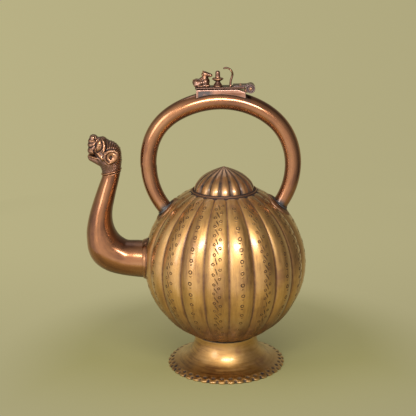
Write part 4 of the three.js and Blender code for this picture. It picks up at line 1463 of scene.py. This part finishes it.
def handle_foot_angle(side):
    """Angle of the left (-1) or right (1) foot about the handle's middle."""
    rise = handle_centre() - body_centre()
    apart = math.hypot(HANDLE_OFFSET, rise)
    along = (mm("body_radius") ** 2 - mm("handle_half") ** 2 + apart**2) / (2 * apart)
    aside = side * math.sqrt(mm("body_radius") ** 2 - along**2)
    dir_x, dir_z = HANDLE_OFFSET / apart, rise / apart
    x, z = dir_x * along + dir_z * aside, dir_z * along - dir_x * aside
    return math.atan2(z - rise, x - HANDLE_OFFSET)


def handle_base(side):
    """Middle of the left (-1) or right (1) foot on the crest of the body."""
    angle, half = handle_foot_angle(side), mm("handle_half")
    return Vector((HANDLE_OFFSET + half * math.cos(angle), 0, handle_centre() + half * math.sin(angle)))


def handle_route(steps):
    """The handle's axis from its left foot to its right one, fuller at the shoulders."""
    centre, half = np.array([HANDLE_OFFSET, handle_centre()]), mm("handle_half")
    tuck = FOOT_TUCK * mm("handle_foot") / half
    left, right = handle_foot_angle(-1) + TURN, handle_foot_angle(1)
    crown = arc((0, 0), 1, math.pi, 0, 160) * (half, mm("handle_crown"))
    dense = np.vstack([
        arc(centre, half, left + tuck, math.pi, 60),
        centre + crown[1:],
        arc(centre, half, 0, right - tuck, 60)[1:],
    ])
    spoke = dense - centre
    angle = np.degrees(np.arctan2(spoke[:, 1], spoke[:, 0]))
    left_shoulder, right_shoulder, left_spread, right_spread = 147, 33, 24, 20
    fuller = 2.0 * bump(angle - left_shoulder, left_spread) + 0.8 * bump(angle - right_shoulder, right_spread)
    return evenly(dense + fuller[:, None] * spoke / np.linalg.norm(spoke, axis=1)[:, None], steps)


def throat_span():
    low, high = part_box("filler_saddle")
    middle = (low.x + high.x) / 2 / MM
    return middle - THROAT_REACH, middle + THROAT_REACH


class EWER_OT_handle(bpy.types.Operator):
    """Hollow handle with its filler hole, and the plates and solder at its feet"""

    bl_idname = "ewer.handle"
    bl_label = "Handle"

    rows, sides, throat_lanes = 240, 64, 5
    # Painted shade inside the handle's bend and on its underside.
    bend_soil, under_soil = 0.6, 0.7
    crown_ease, crown_lift = 0.02, 0.14
    plate_bore, plate_rise, plate_bend = 4, 0.9, 0.7
    plate_soil_place, plate_soil_width = 8.6, 1.6
    lump_width, lump_height, ripple_height = 0.022, 0.13, 0.05

    def execute(self, context):
        route, foot, crown = handle_route(self.rows), mm("handle_foot"), mm("handle_radius")
        radii = np.interp(np.linspace(0, 1, self.rows), [0, 0.5, 1], [foot, crown, foot])
        radii = crown - np.sqrt((crown - radii) ** 2 + self.crown_ease) + self.crown_lift
        start, end = throat_span()
        lane = np.arange(self.sides) + 0.5
        near_top = np.minimum(lane, self.sides - lane) < self.throat_lanes
        x = (route[:-1, 0] + route[1:, 0]) / 2
        under_lid = (x > start) & (x < end) & (route[:-1, 1] > handle_centre())
        mesh = swept(
            "handle_pipe", route, radii, radii, self.sides, mm("handle_wall"), under_lid[:, None] & near_top,
            self.bend_soil,
        )
        self.seams(mesh)
        weather(mesh, passes=3, depth=1.5)
        soil_below(mesh, self.under_soil)
        settle("handle_pipe", mesh, metal("copper_brass"), "vessel", "warm_brass", "handle_tube")
        for name, side in (("left", -1), ("right", 1)):
            self.plate(name, side)
            self.solder(name, side)
        return {"FINISHED"}

    def seams(self, mesh):
        """Dark solder and painted shade along the saddle's outline, and tin run up from the feet."""
        x, y, z = points_of(mesh).T
        low, high = corners("filler_saddle")
        beyond = np.maximum(low.x - x, x - high.x)
        beside = np.maximum(np.abs(y) - mm("saddle_half") + SADDLE_UNDERCUT, beyond)
        raise_to(mesh, "hollow", np.clip(1.5 - np.abs(beside - 0.1) / 0.8, 0, 1) * (z > low.z - 6))
        tin = np.clip(1.5 - np.hypot(x - high.x - 1.5, 0.5 * y) / 3.5, 0, 1) * (z > low.z - 4)
        for side in (-1, 1):
            base = handle_base(side)
            near = np.hypot(x - base.x, z - base.z)
            inside = np.clip(0.5 - 0.09 * side * (x - base.x), 0, 1)
            tin = np.maximum(tin, np.clip(1.6 - near / (3.8 + 2.8 * inside), 0, 1))
        attribute(mesh, "tin", tin)

    def plate(self, name, side):
        """A round plate bent to the ball of the body and eased into its lobes."""
        radius, edge, bore = mm("body_radius"), mm("disc_radius"), self.plate_bore
        top, under = radius + self.plate_rise, radius - 3
        outline = [(bore, under), (bore, top)]
        outline += [(r, top) for r in np.linspace(5, edge - 1.1, 12)]
        outline += [(edge - 0.6, top - 0.12), (edge - 0.2, top - 0.45), (edge, top - 1.0)]
        outline += [(edge + 0.1, radius - 0.5), (edge - 0.2, radius - 3.4), (bore, under)]
        profile = np.array([(r, math.sqrt(rho**2 - r**2)) for r, rho in outline])
        mesh = turned(f"handle_plate_{name}", profile, metal("brown_plate"))
        off_ring = np.abs(reach_of(mesh) - self.plate_soil_place)
        attribute(mesh, "hollow", np.clip(1.5 - off_ring / self.plate_soil_width, 0, 1))
        middle = Vector((0, 0, body_centre()))
        stand(mesh, middle, (handle_base(side) - middle).normalized())
        for vertex in mesh.vertices:
            vertex.co.xy *= 1 - self.plate_bend * lobe_fall(math.atan2(vertex.co.x, -vertex.co.y))
        mesh.update()
        weather(mesh, passes=4, depth=0.25)
        settle(
            f"handle_plate_{name}", mesh, metal("brown_plate"), "vessel", "body_brass",
            f"handle_disc_{name}",
        )

    def solder(self, name, side):
        """A lumpy ring of solder round the foot."""
        foot, angle = mm("handle_foot"), handle_foot_angle(side)
        inside, low, high = foot - 1.0, -2.5, 3.1
        slope = [(1.2, 0.7), (0.8, 1.2), (0.35, 1.8), (0.15, 2.4), (0.06, high)]
        profile = np.vstack([
            [[inside, low]],
            [[foot + 1.2, -1.2]],
            spline([(foot + r, z) for r, z in slope], steps=16),
            [[inside, high]],
            [[inside, low]],
        ])
        mesh = turned(f"solder_ring_{name}", profile, metal("oxidised_solder"), 72)
        for vertex in mesh.vertices:
            around = math.atan2(vertex.co.y, vertex.co.x)
            lump = math.sin(3 * around + 1.1) + 0.6 * math.sin(7 * around + vertex.co.z / MM)
            wave = self.lump_height * math.sin(2 * around + 0.6)
            vertex.co.xy *= 1 + self.lump_width * lump
            vertex.co.z *= 1 + wave + self.ripple_height * math.sin(5 * around)
        axis = Vector((math.sin(angle), 0, -math.cos(angle)))
        if axis.z < 0:
            axis.negate()
        stand(mesh, handle_base(side), axis)
        mesh.update()
        weather(mesh, passes=5, depth=0.25)
        settle(
            f"solder_ring_{name}", mesh, metal("oxidised_solder"), "vessel", "old_solder",
            f"handle_ferrule_{name}",
        )


def handle_height(x):
    """Height of the handle's axis over a place on X, near the crown."""
    return handle_centre() + mm("handle_crown") * np.sqrt(1 - ((x - HANDLE_OFFSET) / mm("handle_half")) ** 2)


class EWER_OT_saddle(bpy.types.Operator):
    """Filler saddle with its throat, the hinge lug and the pin"""

    bl_idname = "ewer.saddle"
    bl_label = "Filler saddle"

    throat_half = 4.5
    edge_rounding, tube_play, shoulder_height = 0.75, 0.35, 6.2
    end_rise, end_run = 0.93, 0.37

    def execute(self, context):
        self.lug()
        self.pin()
        low, high = corners("filler_saddle")
        half, tube_radius, throat = mm("saddle_half"), mm("handle_radius"), self.throat_half
        start, end = throat_span()

        def field(p):
            x, y, z = p.T
            top = handle_height(x)
            body = slab(p, (low.x, -half, low.z - 4), (high.x, half, high.z), self.edge_rounding)
            fall = (z - high.z + 0.5) * self.end_rise + (x - high.x + 5.5) * self.end_run
            body = carve(body, -fall, 1.2)
            undercut = SADDLE_UNDERCUT * np.clip((self.shoulder_height - z + top) / 0.5, 0, 1)
            body = np.maximum(body, np.abs(y) - half + undercut)
            body = carve(body, np.hypot(y, (z - top) * 0.985) - tube_radius + self.tube_play, 0.25)
            beyond = np.maximum(np.maximum(start + throat - x, x - end + throat), 0)
            return carve(body, np.hypot(beyond, y) - throat, 0.4)

        box = (low.x - 1, -half - 1, low.z - 4.5), (high.x + 1, half + 1, high.z + 1)
        mesh = sculpted("filler_box", *box, fineness(full=0.38), field)
        p = points_of(mesh)
        x, y, z = p.T
        top = handle_height(x)
        over_tube = np.hypot(y, z - top) - tube_radius
        # Dark solder where the saddle meets the tube, and painted shade over the saddle's lower band.
        attribute(mesh, "hollow", np.clip(np.maximum(1.2 - over_tube / 0.6, (6.6 - z + top) / 0.5), 0, 1))
        patch = np.clip((low.x + 17 - x) / 5, 0, 1) * np.clip((x - low.x - 1.6) / 0.6, 0, 1)
        attribute(mesh, "tin", 0.9 * patch * np.clip((high.z - 0.9 - z) / 0.6, 0, 1))
        attribute(mesh, "grain", p[:, [2, 1, 0]] * MM)
        weather(mesh, passes=8, depth=0.3)
        settle("filler_box", mesh, metal("worn_saddle"), "vessel", "warm_brass", "filler_saddle")
        return {"FINISHED"}

    def lug(self):
        low, high = corners("saddle_hinge_lug")
        x, _, z = middle_of("hinge_pin")
        half = (high.y - low.y) / 2

        def field(p):
            eye = barrel(p, (x, z), mm("knuckle_radius") - 0.1, half)
            tongue = slab(p, (low.x - 1.2, -half, low.z), (x, half, z - 0.5), 0.4)
            return carve(merge(eye, tongue, 0.8), pin_hole(p, (x, z)), 0.1)

        box = (low.x - 2, -half - 0.8, low.z - 1), (high.x + 0.8, half + 0.8, high.z + 0.8)
        mesh = sculpted("hinge_tongue", *box, 0.34, field)
        weather(mesh, passes=6, depth=0.25)
        settle("hinge_tongue", mesh, metal("old_casting"), "vessel", "dark_brass", "saddle_hinge_lug")

    def pin(self):
        low, high = corners("hinge_pin")
        x, _, z = middle_of("hinge_pin")
        tip = (high.y - low.y) / 2
        head = [(0, tip - 0.25), (0.7, tip - 0.32), (1.2, tip - 0.45), (1.55, tip - 0.65), (1.6, tip - 0.8)]
        profile = np.array(head + [(1.4, tip - 0.8), (1.4, 0.8 - tip)] + [(r, -y) for r, y in head[::-1]])
        mesh = turned("hinge_rivet", profile, metal("old_casting"), 48)
        mesh.transform(Matrix.Rotation(-math.pi / 2, 4, "X"))
        shift(mesh, x, z)
        weather(mesh, passes=3, depth=0.2)
        settle("hinge_rivet", mesh, metal("old_casting"), "vessel", "dark_brass", "hinge_pin")


class EWER_OT_lid(bpy.types.Operator):
    """Lid plate, its strap with the outer knuckles, and the rivets"""

    bl_idname = "ewer.lid"
    bl_label = "Lid"

    edge_rounding = 0.85
    leaf_thickness = 1.2
    notch_play = 0.25
    knuckle_rounding = 0.12
    bite_radius, bite_back = 3.0, 2.4
    ring_radius, ring_half, ring_depth = 2.95, 0.28, 0.45

    def execute(self, context):
        low, high = corners("lid_plate")

        def field(p):
            return slab(p, low, high, self.edge_rounding)

        margin = Vector((0.9, 0.9, 0.9))
        mesh = sculpted("lid_board", low - margin, high + margin, fineness(full=0.4), field)
        weather(mesh, passes=8, depth=0.25)
        settle("lid_board", mesh, metal("dark_lid"), "lid", "warm_brass", "lid_plate")
        self.strap()
        self.rivets()
        return {"FINISHED"}

    def strap(self):
        low, high = corners("lid_hinge_strap")
        x, _, z = middle_of("hinge_pin")
        notch = corners("saddle_hinge_lug")[1].y + self.notch_play
        knuckle, half, top = mm("knuckle_radius"), high.y, lid_top()
        rounding = self.knuckle_rounding

        def field(p):
            leaf = slab(p, (low.x, -half, top), (x, half, top + self.leaf_thickness), 0.45)
            leaf = np.maximum(leaf, self.bite_radius - np.hypot(p[:, 0] - low.x + self.bite_back, p[:, 1]))
            eyes = barrel(p, (x, z), knuckle - rounding, half - rounding) - rounding
            around = np.hypot(p[:, 0] - x, p[:, 2] - z)
            deep = half - self.ring_depth - np.abs(p[:, 1])
            rings = np.maximum(np.abs(around - self.ring_radius) - self.ring_half, deep)
            body = carve(merge(leaf, eyes, 0.5), rings, 0.15)
            gap = slab(p, (x - knuckle - 0.4, -notch, z - 9), (x + 9, notch, z + 9), 0.05)
            return carve(carve(body, gap, 0.1), pin_hole(p, (x, z)), 0.1)

        margin = Vector((0.8, 0.8, 0.8))
        mesh = sculpted("hinge_leaf", low - margin, high + margin, fineness(full=0.3), field)
        weather(mesh, passes=9, depth=0.5)
        settle("hinge_leaf", mesh, metal("purple_strap"), "lid", "old_solder", "lid_hinge_strap")

    def rivets(self):
        """Two domed rivets set by a node tree on the strap."""
        low, high = corners("strap_rivet_front")
        x, front, _ = middle_of("strap_rivet_front")
        apart = middle_of("strap_rivet_back")[1] - front
        radius, height = (high.x - low.x) / 2, high.z - low.z
        dome = np.array([
            (0, -0.4), (radius, -0.4), (radius, 0.12), (radius * 0.82, height * 0.42),
            (radius * 0.45, height * 0.62), (0, height * 0.68),
        ])
        values = {
            "Start": Vector((x, front, low.z)) * MM, "Offset": Vector((0, apart, 0)) * MM,
            "Rivets": 2, "Finish": metal("old_casting"),
        }
        seed = turned("rivet_dome", dome, metal("old_casting"), 20)
        mesh = grown("strap_rivets", seed, rivet_tree(), values)
        weather(mesh, passes=2, depth=0.15)
        settle(
            "strap_rivets", mesh, metal("old_casting"), "lid", "dark_brass",
            "strap_rivet_front", "strap_rivet_back",
        )


class EWER_OT_figures(bpy.types.Operator):
    """Reclining bull, linga on its pedestal, and rearing cobra"""

    bl_idname = "ewer.figures"
    bl_label = "Figures on the lid"

    bull_low, bull_high = (-28.6, -5.9, -2.6), (-8.2, 5.9, 15.6)
    bull_lines = [
        (-0.3, 0.25, [(-10.0, 9.5), (-12.6, 9.4)]),
        (-0.25, 0.35, [(-20.4, 5.6), (-20.7, 1.0)]),
        (-0.2, 0.3, [(-18.0, 6.0), (-18.4, 1.6)]),
    ]
    pedestal = [(4.35, 0.0), (4.45, 0.4), (4.2, 0.9), (3.3, 2.3), (2.45, 3.6), (2.2, 4.2), (2.5, 4.7)]
    bowl = [(2.5, 4.7), (3.7, 5.2), (5.0, 6.2), (5.4, 6.75), (5.1, 7.25), (4.2, 7.7), (3.2, 7.85)]
    bowl_floor = 8.0
    cobra_route = [
        (7.1, -0.2), (7.0, 1.7), (7.3, 4.5), (8.0, 7.0), (8.9, 10.0), (8.8, 12.1), (8.0, 13.9),
        (6.6, 15.4), (5.0, 16.3), (3.6, 16.7), (1.9, 16.5), (0.4, 16.0),
    ]
    cobra_depth = [0, 0.06, 0.5, 0.85, 0.93, 0.985, 1], [1.35, 1.1, 1.0, 0.85, 0.95, 0.55, 0.12]
    cobra_width = [0, 0.06, 0.4, 0.62, 0.8, 0.9, 0.97, 1], [1.25, 0.95, 1.0, 2.75, 2.1, 1.15, 0.8, 0.12]
    cobra_rows, cobra_sides = 96, 24
    ripple_depth, ripple_rate = 0.05, 150

    def execute(self, context):
        step = fineness(full=0.25)
        mesh = sculpted("reclining_bull", self.bull_low, self.bull_high, step, self.bull, self.bull_relief)
        shift(mesh, 0, lid_top())
        weather(mesh, passes=9, depth=0.22)
        settle("reclining_bull", mesh, metal("old_casting"), "lid", "dark_brass", "nandi_bull")
        self.linga()
        self.cobra()
        return {"FINISHED"}

    def bull(self, p):
        q = folded(p)
        trunk = egg(q, (-21.3, 0, 3.5), (6.2, 4.5, 3.5))
        rump = egg(q, (-24.2, 1.1, 3.4), (3.3, 3.5, 3.7))
        haunch = egg(q, (-23.4, 3.6, 2.0), (3.4, 1.5, 2.1), -0.2)
        hock = limb(q, (-22.4, 4.1, 0.7), (-18.6, 3.9, 0.7), 0.95, 0.75)
        chest = egg(q, (-15.7, 0, 3.8), (3.1, 3.8, 4.2))
        neck = limb(q, (-16.4, 0, 5.2), (-16.5, 0, 10.2), 3.2, 2.6)
        hump = egg(q, (-19.2, 0, 7.0), (2.0, 1.7, 1.5))
        head = limb(q, (-16.3, 0, 11.3), (-12.0, 0, 10.3), 2.6, 1.8)
        muzzle = egg(q, (-11.0, 0, 10.0), (1.7, 1.6, 1.5))
        knee = limb(q, (-17.2, 3.0, 1.1), (-13.0, 2.9, 1.0), 1.25, 1.0)
        hoof = limb(q, (-13.0, 2.9, 0.8), (-15.2, 3.6, 0.7), 0.9, 0.8)
        dewlap = egg(q, (-13.5, 0, 5.2), (1.5, 0.9, 3.0), -0.2)
        whole = merge_all(1.0, trunk, rump, chest, neck, hump, dewlap)
        whole = merge_all(0.5, whole, haunch, hock, knee, hoof, head, muzzle)
        ear = egg(q, (-18.3, 2.6, 11.0), (1.3, 1.4, 0.75), 0.3)
        horn = limb(q, (-17.4, 1.2, 12.9), (-18.0, 2.0, 13.8), 0.8, 0.5)
        poll = egg(q, (-17.2, 0, 13.2), (1.5, 1.5, 0.9))
        eye = egg(q, (-14.3, 1.75, 11.7), (0.55, 0.4, 0.5))
        tail = roll(q, [(-27.0, 0.3, 6.0), (-27.5, 0.9, 3.6), (-26.4, 3.0, 1.6)], 0.45)
        whole = merge_all(0.3, whole, ear, horn, poll, eye, tail)
        return np.maximum(whole, np.where(q[:, 0] < -25.6, -1.4, 0.0) - q[:, 2] - 0.25)

    def bull_relief(self, p, normal):
        """A strap round the neck, the mouth and folds of the hide."""
        q = folded(p)
        back = q[:, 0] + 16.4
        level = q[:, 2] - 0.3 * back
        strap = 0.25 * bump(level - 7.2, 0.4) - 0.25 * bump(level - 6.4, 0.3)
        return strap * (np.hypot(back, q[:, 1]) < 5) + furrows(q, self.bull_lines)

    def linga(self):
        low, high = corners("yoni_pedestal")
        x = (low.x + high.x) / 2
        profile = np.vstack([
            [[0, -0.1]],
            [[4.2, -0.1]],
            spline(self.pedestal, steps=26),
            spline(self.bowl, steps=22)[1:],
            [[2.6, self.bowl_floor]],
            [[0, self.bowl_floor]],
        ])
        mesh = turned("yoni_stand", profile, metal("old_casting"), 72)
        shift(mesh, x, low.z)
        weather(mesh, passes=6, depth=0.2)
        settle("yoni_stand", mesh, metal("old_casting"), "lid", "dark_brass", "yoni_pedestal")
        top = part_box("linga")[1].z / MM - high.z
        shaft = [(2.6, 0.2), (2.35, 0.7), (2.25, 1.6), (2.2, top - 2.2)]
        crown = [(1.9, top - 0.9), (1.1, top - 0.2), (0, top)]
        profile = np.vstack([[[0, -0.2]], [[2.5, -0.2]], spline(shaft + crown, steps=30)])
        mesh = turned("linga_stone", profile, metal("old_casting"), 48)
        shift(mesh, x, high.z)
        weather(mesh, passes=4, depth=0.2)
        settle("linga_stone", mesh, metal("old_casting"), "lid", "dark_brass", "linga")

    def cobra(self):
        t = np.linspace(0, 1, self.cobra_rows)
        route = spline(self.cobra_route, self.cobra_rows) + np.array([0, lid_top()])
        within = eased(*self.cobra_depth, t) * (1 + self.ripple_depth * np.sin(t * self.ripple_rate))
        mesh = swept("rearing_cobra", route, within, eased(*self.cobra_width, t), self.cobra_sides)
        weather(mesh, passes=3, depth=0.25)
        settle("rearing_cobra", mesh, metal("old_casting"), "lid", "dark_brass", "cobra")


def rays(tree):
    """Whether a ray comes from the camera, through glass or off a gloss."""
    path = add(tree, "ShaderNodeLightPath").outputs
    return [Value(path[name]) for name in ("Is Camera Ray", "Is Transmission Ray", "Is Glossy Ray")]


class EWER_OT_stage(bpy.types.Operator):
    """Pale paper, soft lamps and the camera"""

    bl_idname = "ewer.stage"
    bl_label = "Stage"

    floor_middle, floor_sides, floor_rings, ring_width = 0.25, 96, 5, 0.1
    near_tint, pale_tint = (0.82, 0.83, 0.60), (0.86, 0.88, 0.68)
    floor_level, level_aside, level_behind = 0.82, -0.155, 0.15
    rim_level, floor_sheen = 0.97, 0.7
    cloud_scale, paper_roughness, paper_gloss = 1.6, 0.9, 0.1
    room_colour, room_glow, room_dusk = (1.0, 0.97, 0.91, 1.0), 1.07, 0.13
    room_aside, room_ahead = -0.45, -0.893
    wall_level, wall_fade = 0.97, -0.28
    lamp_aim = Vector((0.0, 0.0, 0.13))
    lamps = (
        ("key_softbox", (0.03, -0.40, 0.385), (0.30, 0.06), 1.5),
        ("left_softbox", (-0.9, -1.05, 0.60), (0.45, 0.7), 4.0),
        ("top_softbox", (-0.1, 0.7, 1.6), (1.2, 0.8), 3.0),
    )
    camera_place = (0.0, -1.02655, 0.44050)
    pitch, swing, tilt = 0.2704, -0.0150, -0.0161
    lens, sensor, nearest, farthest = 97.53, 36.0, 0.05, 60.0

    def execute(self, context):
        self.paper()
        self.room(context)
        self.softboxes(context)
        self.camera(context)
        context.scene.view_settings.view_transform = "Standard"
        return {"FINISHED"}

    def paper(self):
        """A round floor that fades into the backdrop away from the ewer's shadow."""
        sides = self.floor_sides
        angle = np.arange(sides) * TURN / sides
        around = np.stack([np.cos(angle), np.sin(angle), np.zeros(sides)], 1) * self.ring_width
        middle = np.array([0, self.floor_middle, 0])
        points = np.vstack([middle] + [middle + ring * around for ring in range(1, self.floor_rings + 1)])
        first = 1 + np.arange(sides)
        fan = np.stack([np.zeros(sides, int), first, np.roll(first, -1)], 1)
        quads = 1 + ring_quads(self.floor_rings, sides)[:-1].reshape(-1, 4)[:, [0, 3, 2, 1]]
        mesh = mesh_from("paper_floor", points / MM, fan, quads)
        mesh.materials.append(self.paper_finish())
        placed("paper_floor", mesh)

    def paper_finish(self):
        material = bpy.data.materials.new("pale_paper")
        material.use_nodes = True
        tree = material.node_tree
        shader = tree.nodes["Principled BSDF"]
        spot = out(tree, "ShaderNodeTexCoord", output="Object")
        x, y, _ = spot.split()
        clouds = {"Vector": spot, "Scale": self.cloud_scale, "Detail": 2.0}
        cloud = out(tree, "ShaderNodeTexNoise", clouds, "Fac")
        near, pale = (
            (*(share * level for share, level in zip(tint, tone("backdrop"))), 1.0)
            for tint in (self.near_tint, self.pale_tint)
        )
        feed(shader, {
            "Base Color": cloud.mix(near, pale), "Roughness": self.paper_roughness,
            "Specular IOR Level": self.paper_gloss,
        })
        middle = (0.0, self.floor_middle, 0.0)
        away = out(tree, "ShaderNodeVectorMath", {0: spot, 1: middle}, "Value", operation="DISTANCE")
        reach = out(tree, "ShaderNodeVectorMath", {0: spot}, "Value", operation="LENGTH")
        camera, clear, glossy = rays(tree)
        depth = y.ramp(-0.15, 0.42)
        far = away.ramp(0.22, 0.44).at_least(depth).at_least(reach.ramp(0.09, 0.25))
        seen = camera.at_least(clear).at_least(glossy)
        # The paper's glow is painted light: brighter behind and to the left, nearer the backdrop's level at
        # the rim, with a painted sheen that only glossy rays see in front.
        level = depth * self.level_behind + x * self.level_aside + self.floor_level
        rim = away.ramp(0.40, 0.495) * y.ramp(0.7, 0.5)
        level = (self.rim_level - level) * rim + level
        level = y.ramp(-0.04, -0.25) * glossy * self.floor_sheen + level
        glow = out(tree, "ShaderNodeEmission", {"Color": tone("backdrop"), "Strength": level})
        surface = out(tree, "ShaderNodeMixShader", {0: far * seen, 1: Value(shader.outputs[0]), 2: glow})
        feed(tree.nodes["Material Output"], {"Surface": surface})
        return material

    def room(self, context):
        """A room that is bright in front, with the backdrop where the camera and glossy metal see it."""
        world = bpy.data.worlds.new("soft_room")
        context.scene.world = world
        world.use_nodes = True
        tree = world.node_tree
        tree.nodes.clear()
        camera, clear, glossy = rays(tree)
        x, y, z = out(tree, "ShaderNodeTexCoord", output="Generated").split()
        wall = y.ramp(0.1, 0.8, kind="LINEAR") * z.ramp(0.6, 0.1, kind="LINEAR") * glossy
        front = (x * self.room_aside + y * self.room_ahead).ramp(-0.5, 0.96, kind="LINEAR")
        glow = front**2.0 * self.room_glow + self.room_dusk
        room = out(tree, "ShaderNodeBackground", {"Color": self.room_colour, "Strength": glow})
        # Painted shade on the backdrop: darker towards the right behind the ewer.
        fade = x * y.ramp(0.8, 0.94, kind="LINEAR") * self.wall_fade + self.wall_level
        paper = out(tree, "ShaderNodeBackground", {"Color": tone("backdrop"), "Strength": fade})
        shown = camera.at_least(clear).at_least(wall)
        surface = out(tree, "ShaderNodeMixShader", {0: shown, 1: room, 2: paper})
        add(tree, "ShaderNodeOutputWorld", {"Surface": surface})

    def softboxes(self, context):
        for name, place, size, power in self.lamps:
            lamp = bpy.data.lights.new(name, "AREA")
            lamp.shape = "RECTANGLE"
            lamp.size, lamp.size_y = size
            lamp.energy = power
            holder = bpy.data.objects.new(name, lamp)
            holder.location = place
            holder.visible_camera = False
            holder.rotation_euler = (self.lamp_aim - Vector(place)).to_track_quat("-Z", "Y").to_euler()
            context.scene.collection.objects.link(holder)

    def camera(self, context):
        """Set as the photograph was taken: from the front, a little over the ewer, hardly rolled."""
        level = math.cos(self.pitch)
        ahead = Vector((math.sin(self.swing) * level, math.cos(self.swing) * level, -math.sin(self.pitch)))
        right = ahead.cross(Vector((0, 0, 1))).normalized()
        up = right.cross(ahead)
        across = right * math.cos(self.tilt) + up * math.sin(self.tilt)
        upright = up * math.cos(self.tilt) - right * math.sin(self.tilt)
        camera = bpy.data.cameras.new("camera")
        camera.lens, camera.sensor_width = self.lens, self.sensor
        camera.clip_start, camera.clip_end = self.nearest, self.farthest
        holder = bpy.data.objects.new("camera", camera)
        turn = Matrix((across, upright, -ahead)).transposed().to_4x4()
        holder.matrix_world = Matrix.Translation(self.camera_place) @ turn
        context.scene.collection.objects.link(holder)
        context.scene.camera = holder


OPERATORS = (
    EWER_OT_stage,
    EWER_OT_body,
    EWER_OT_chasing,
    EWER_OT_foot,
    EWER_OT_dome,
    EWER_OT_spout,
    EWER_OT_lion,
    EWER_OT_handle,
    EWER_OT_saddle,
    EWER_OT_lid,
    EWER_OT_figures,
)


class EWER_PT_panel(bpy.types.Panel):
    """Lists the ewer's pieces, sizes and finishes"""

    bl_idname = "EWER_PT_panel"
    bl_label = "Gangajali ewer"
    bl_space_type = "VIEW_3D"
    bl_region_type = "UI"
    bl_category = "Ewer"

    def draw(self, context):
        for operator in OPERATORS:
            self.layout.operator(operator.bl_idname)
        for group in (context.scene.ewer_sizes, context.scene.ewer_finishes):
            box = self.layout.box()
            for name in group.__annotations__:
                box.prop(group, name)


CLASSES = (EwerSizes, EwerFinishes, *OPERATORS, EWER_PT_panel)


def register():
    for item in CLASSES:
        bpy.utils.register_class(item)
    bpy.types.Scene.ewer_sizes = bpy.props.PointerProperty(type=EwerSizes)
    bpy.types.Scene.ewer_finishes = bpy.props.PointerProperty(type=EwerFinishes)


def unregister():
    del bpy.types.Scene.ewer_finishes
    del bpy.types.Scene.ewer_sizes
    for item in reversed(CLASSES):
        bpy.utils.unregister_class(item)


def main():
    register()
    for operator in OPERATORS:
        group, name = operator.bl_idname.split(".")
        getattr(getattr(bpy.ops, group), name)()


if __name__ == "__main__":
    main()
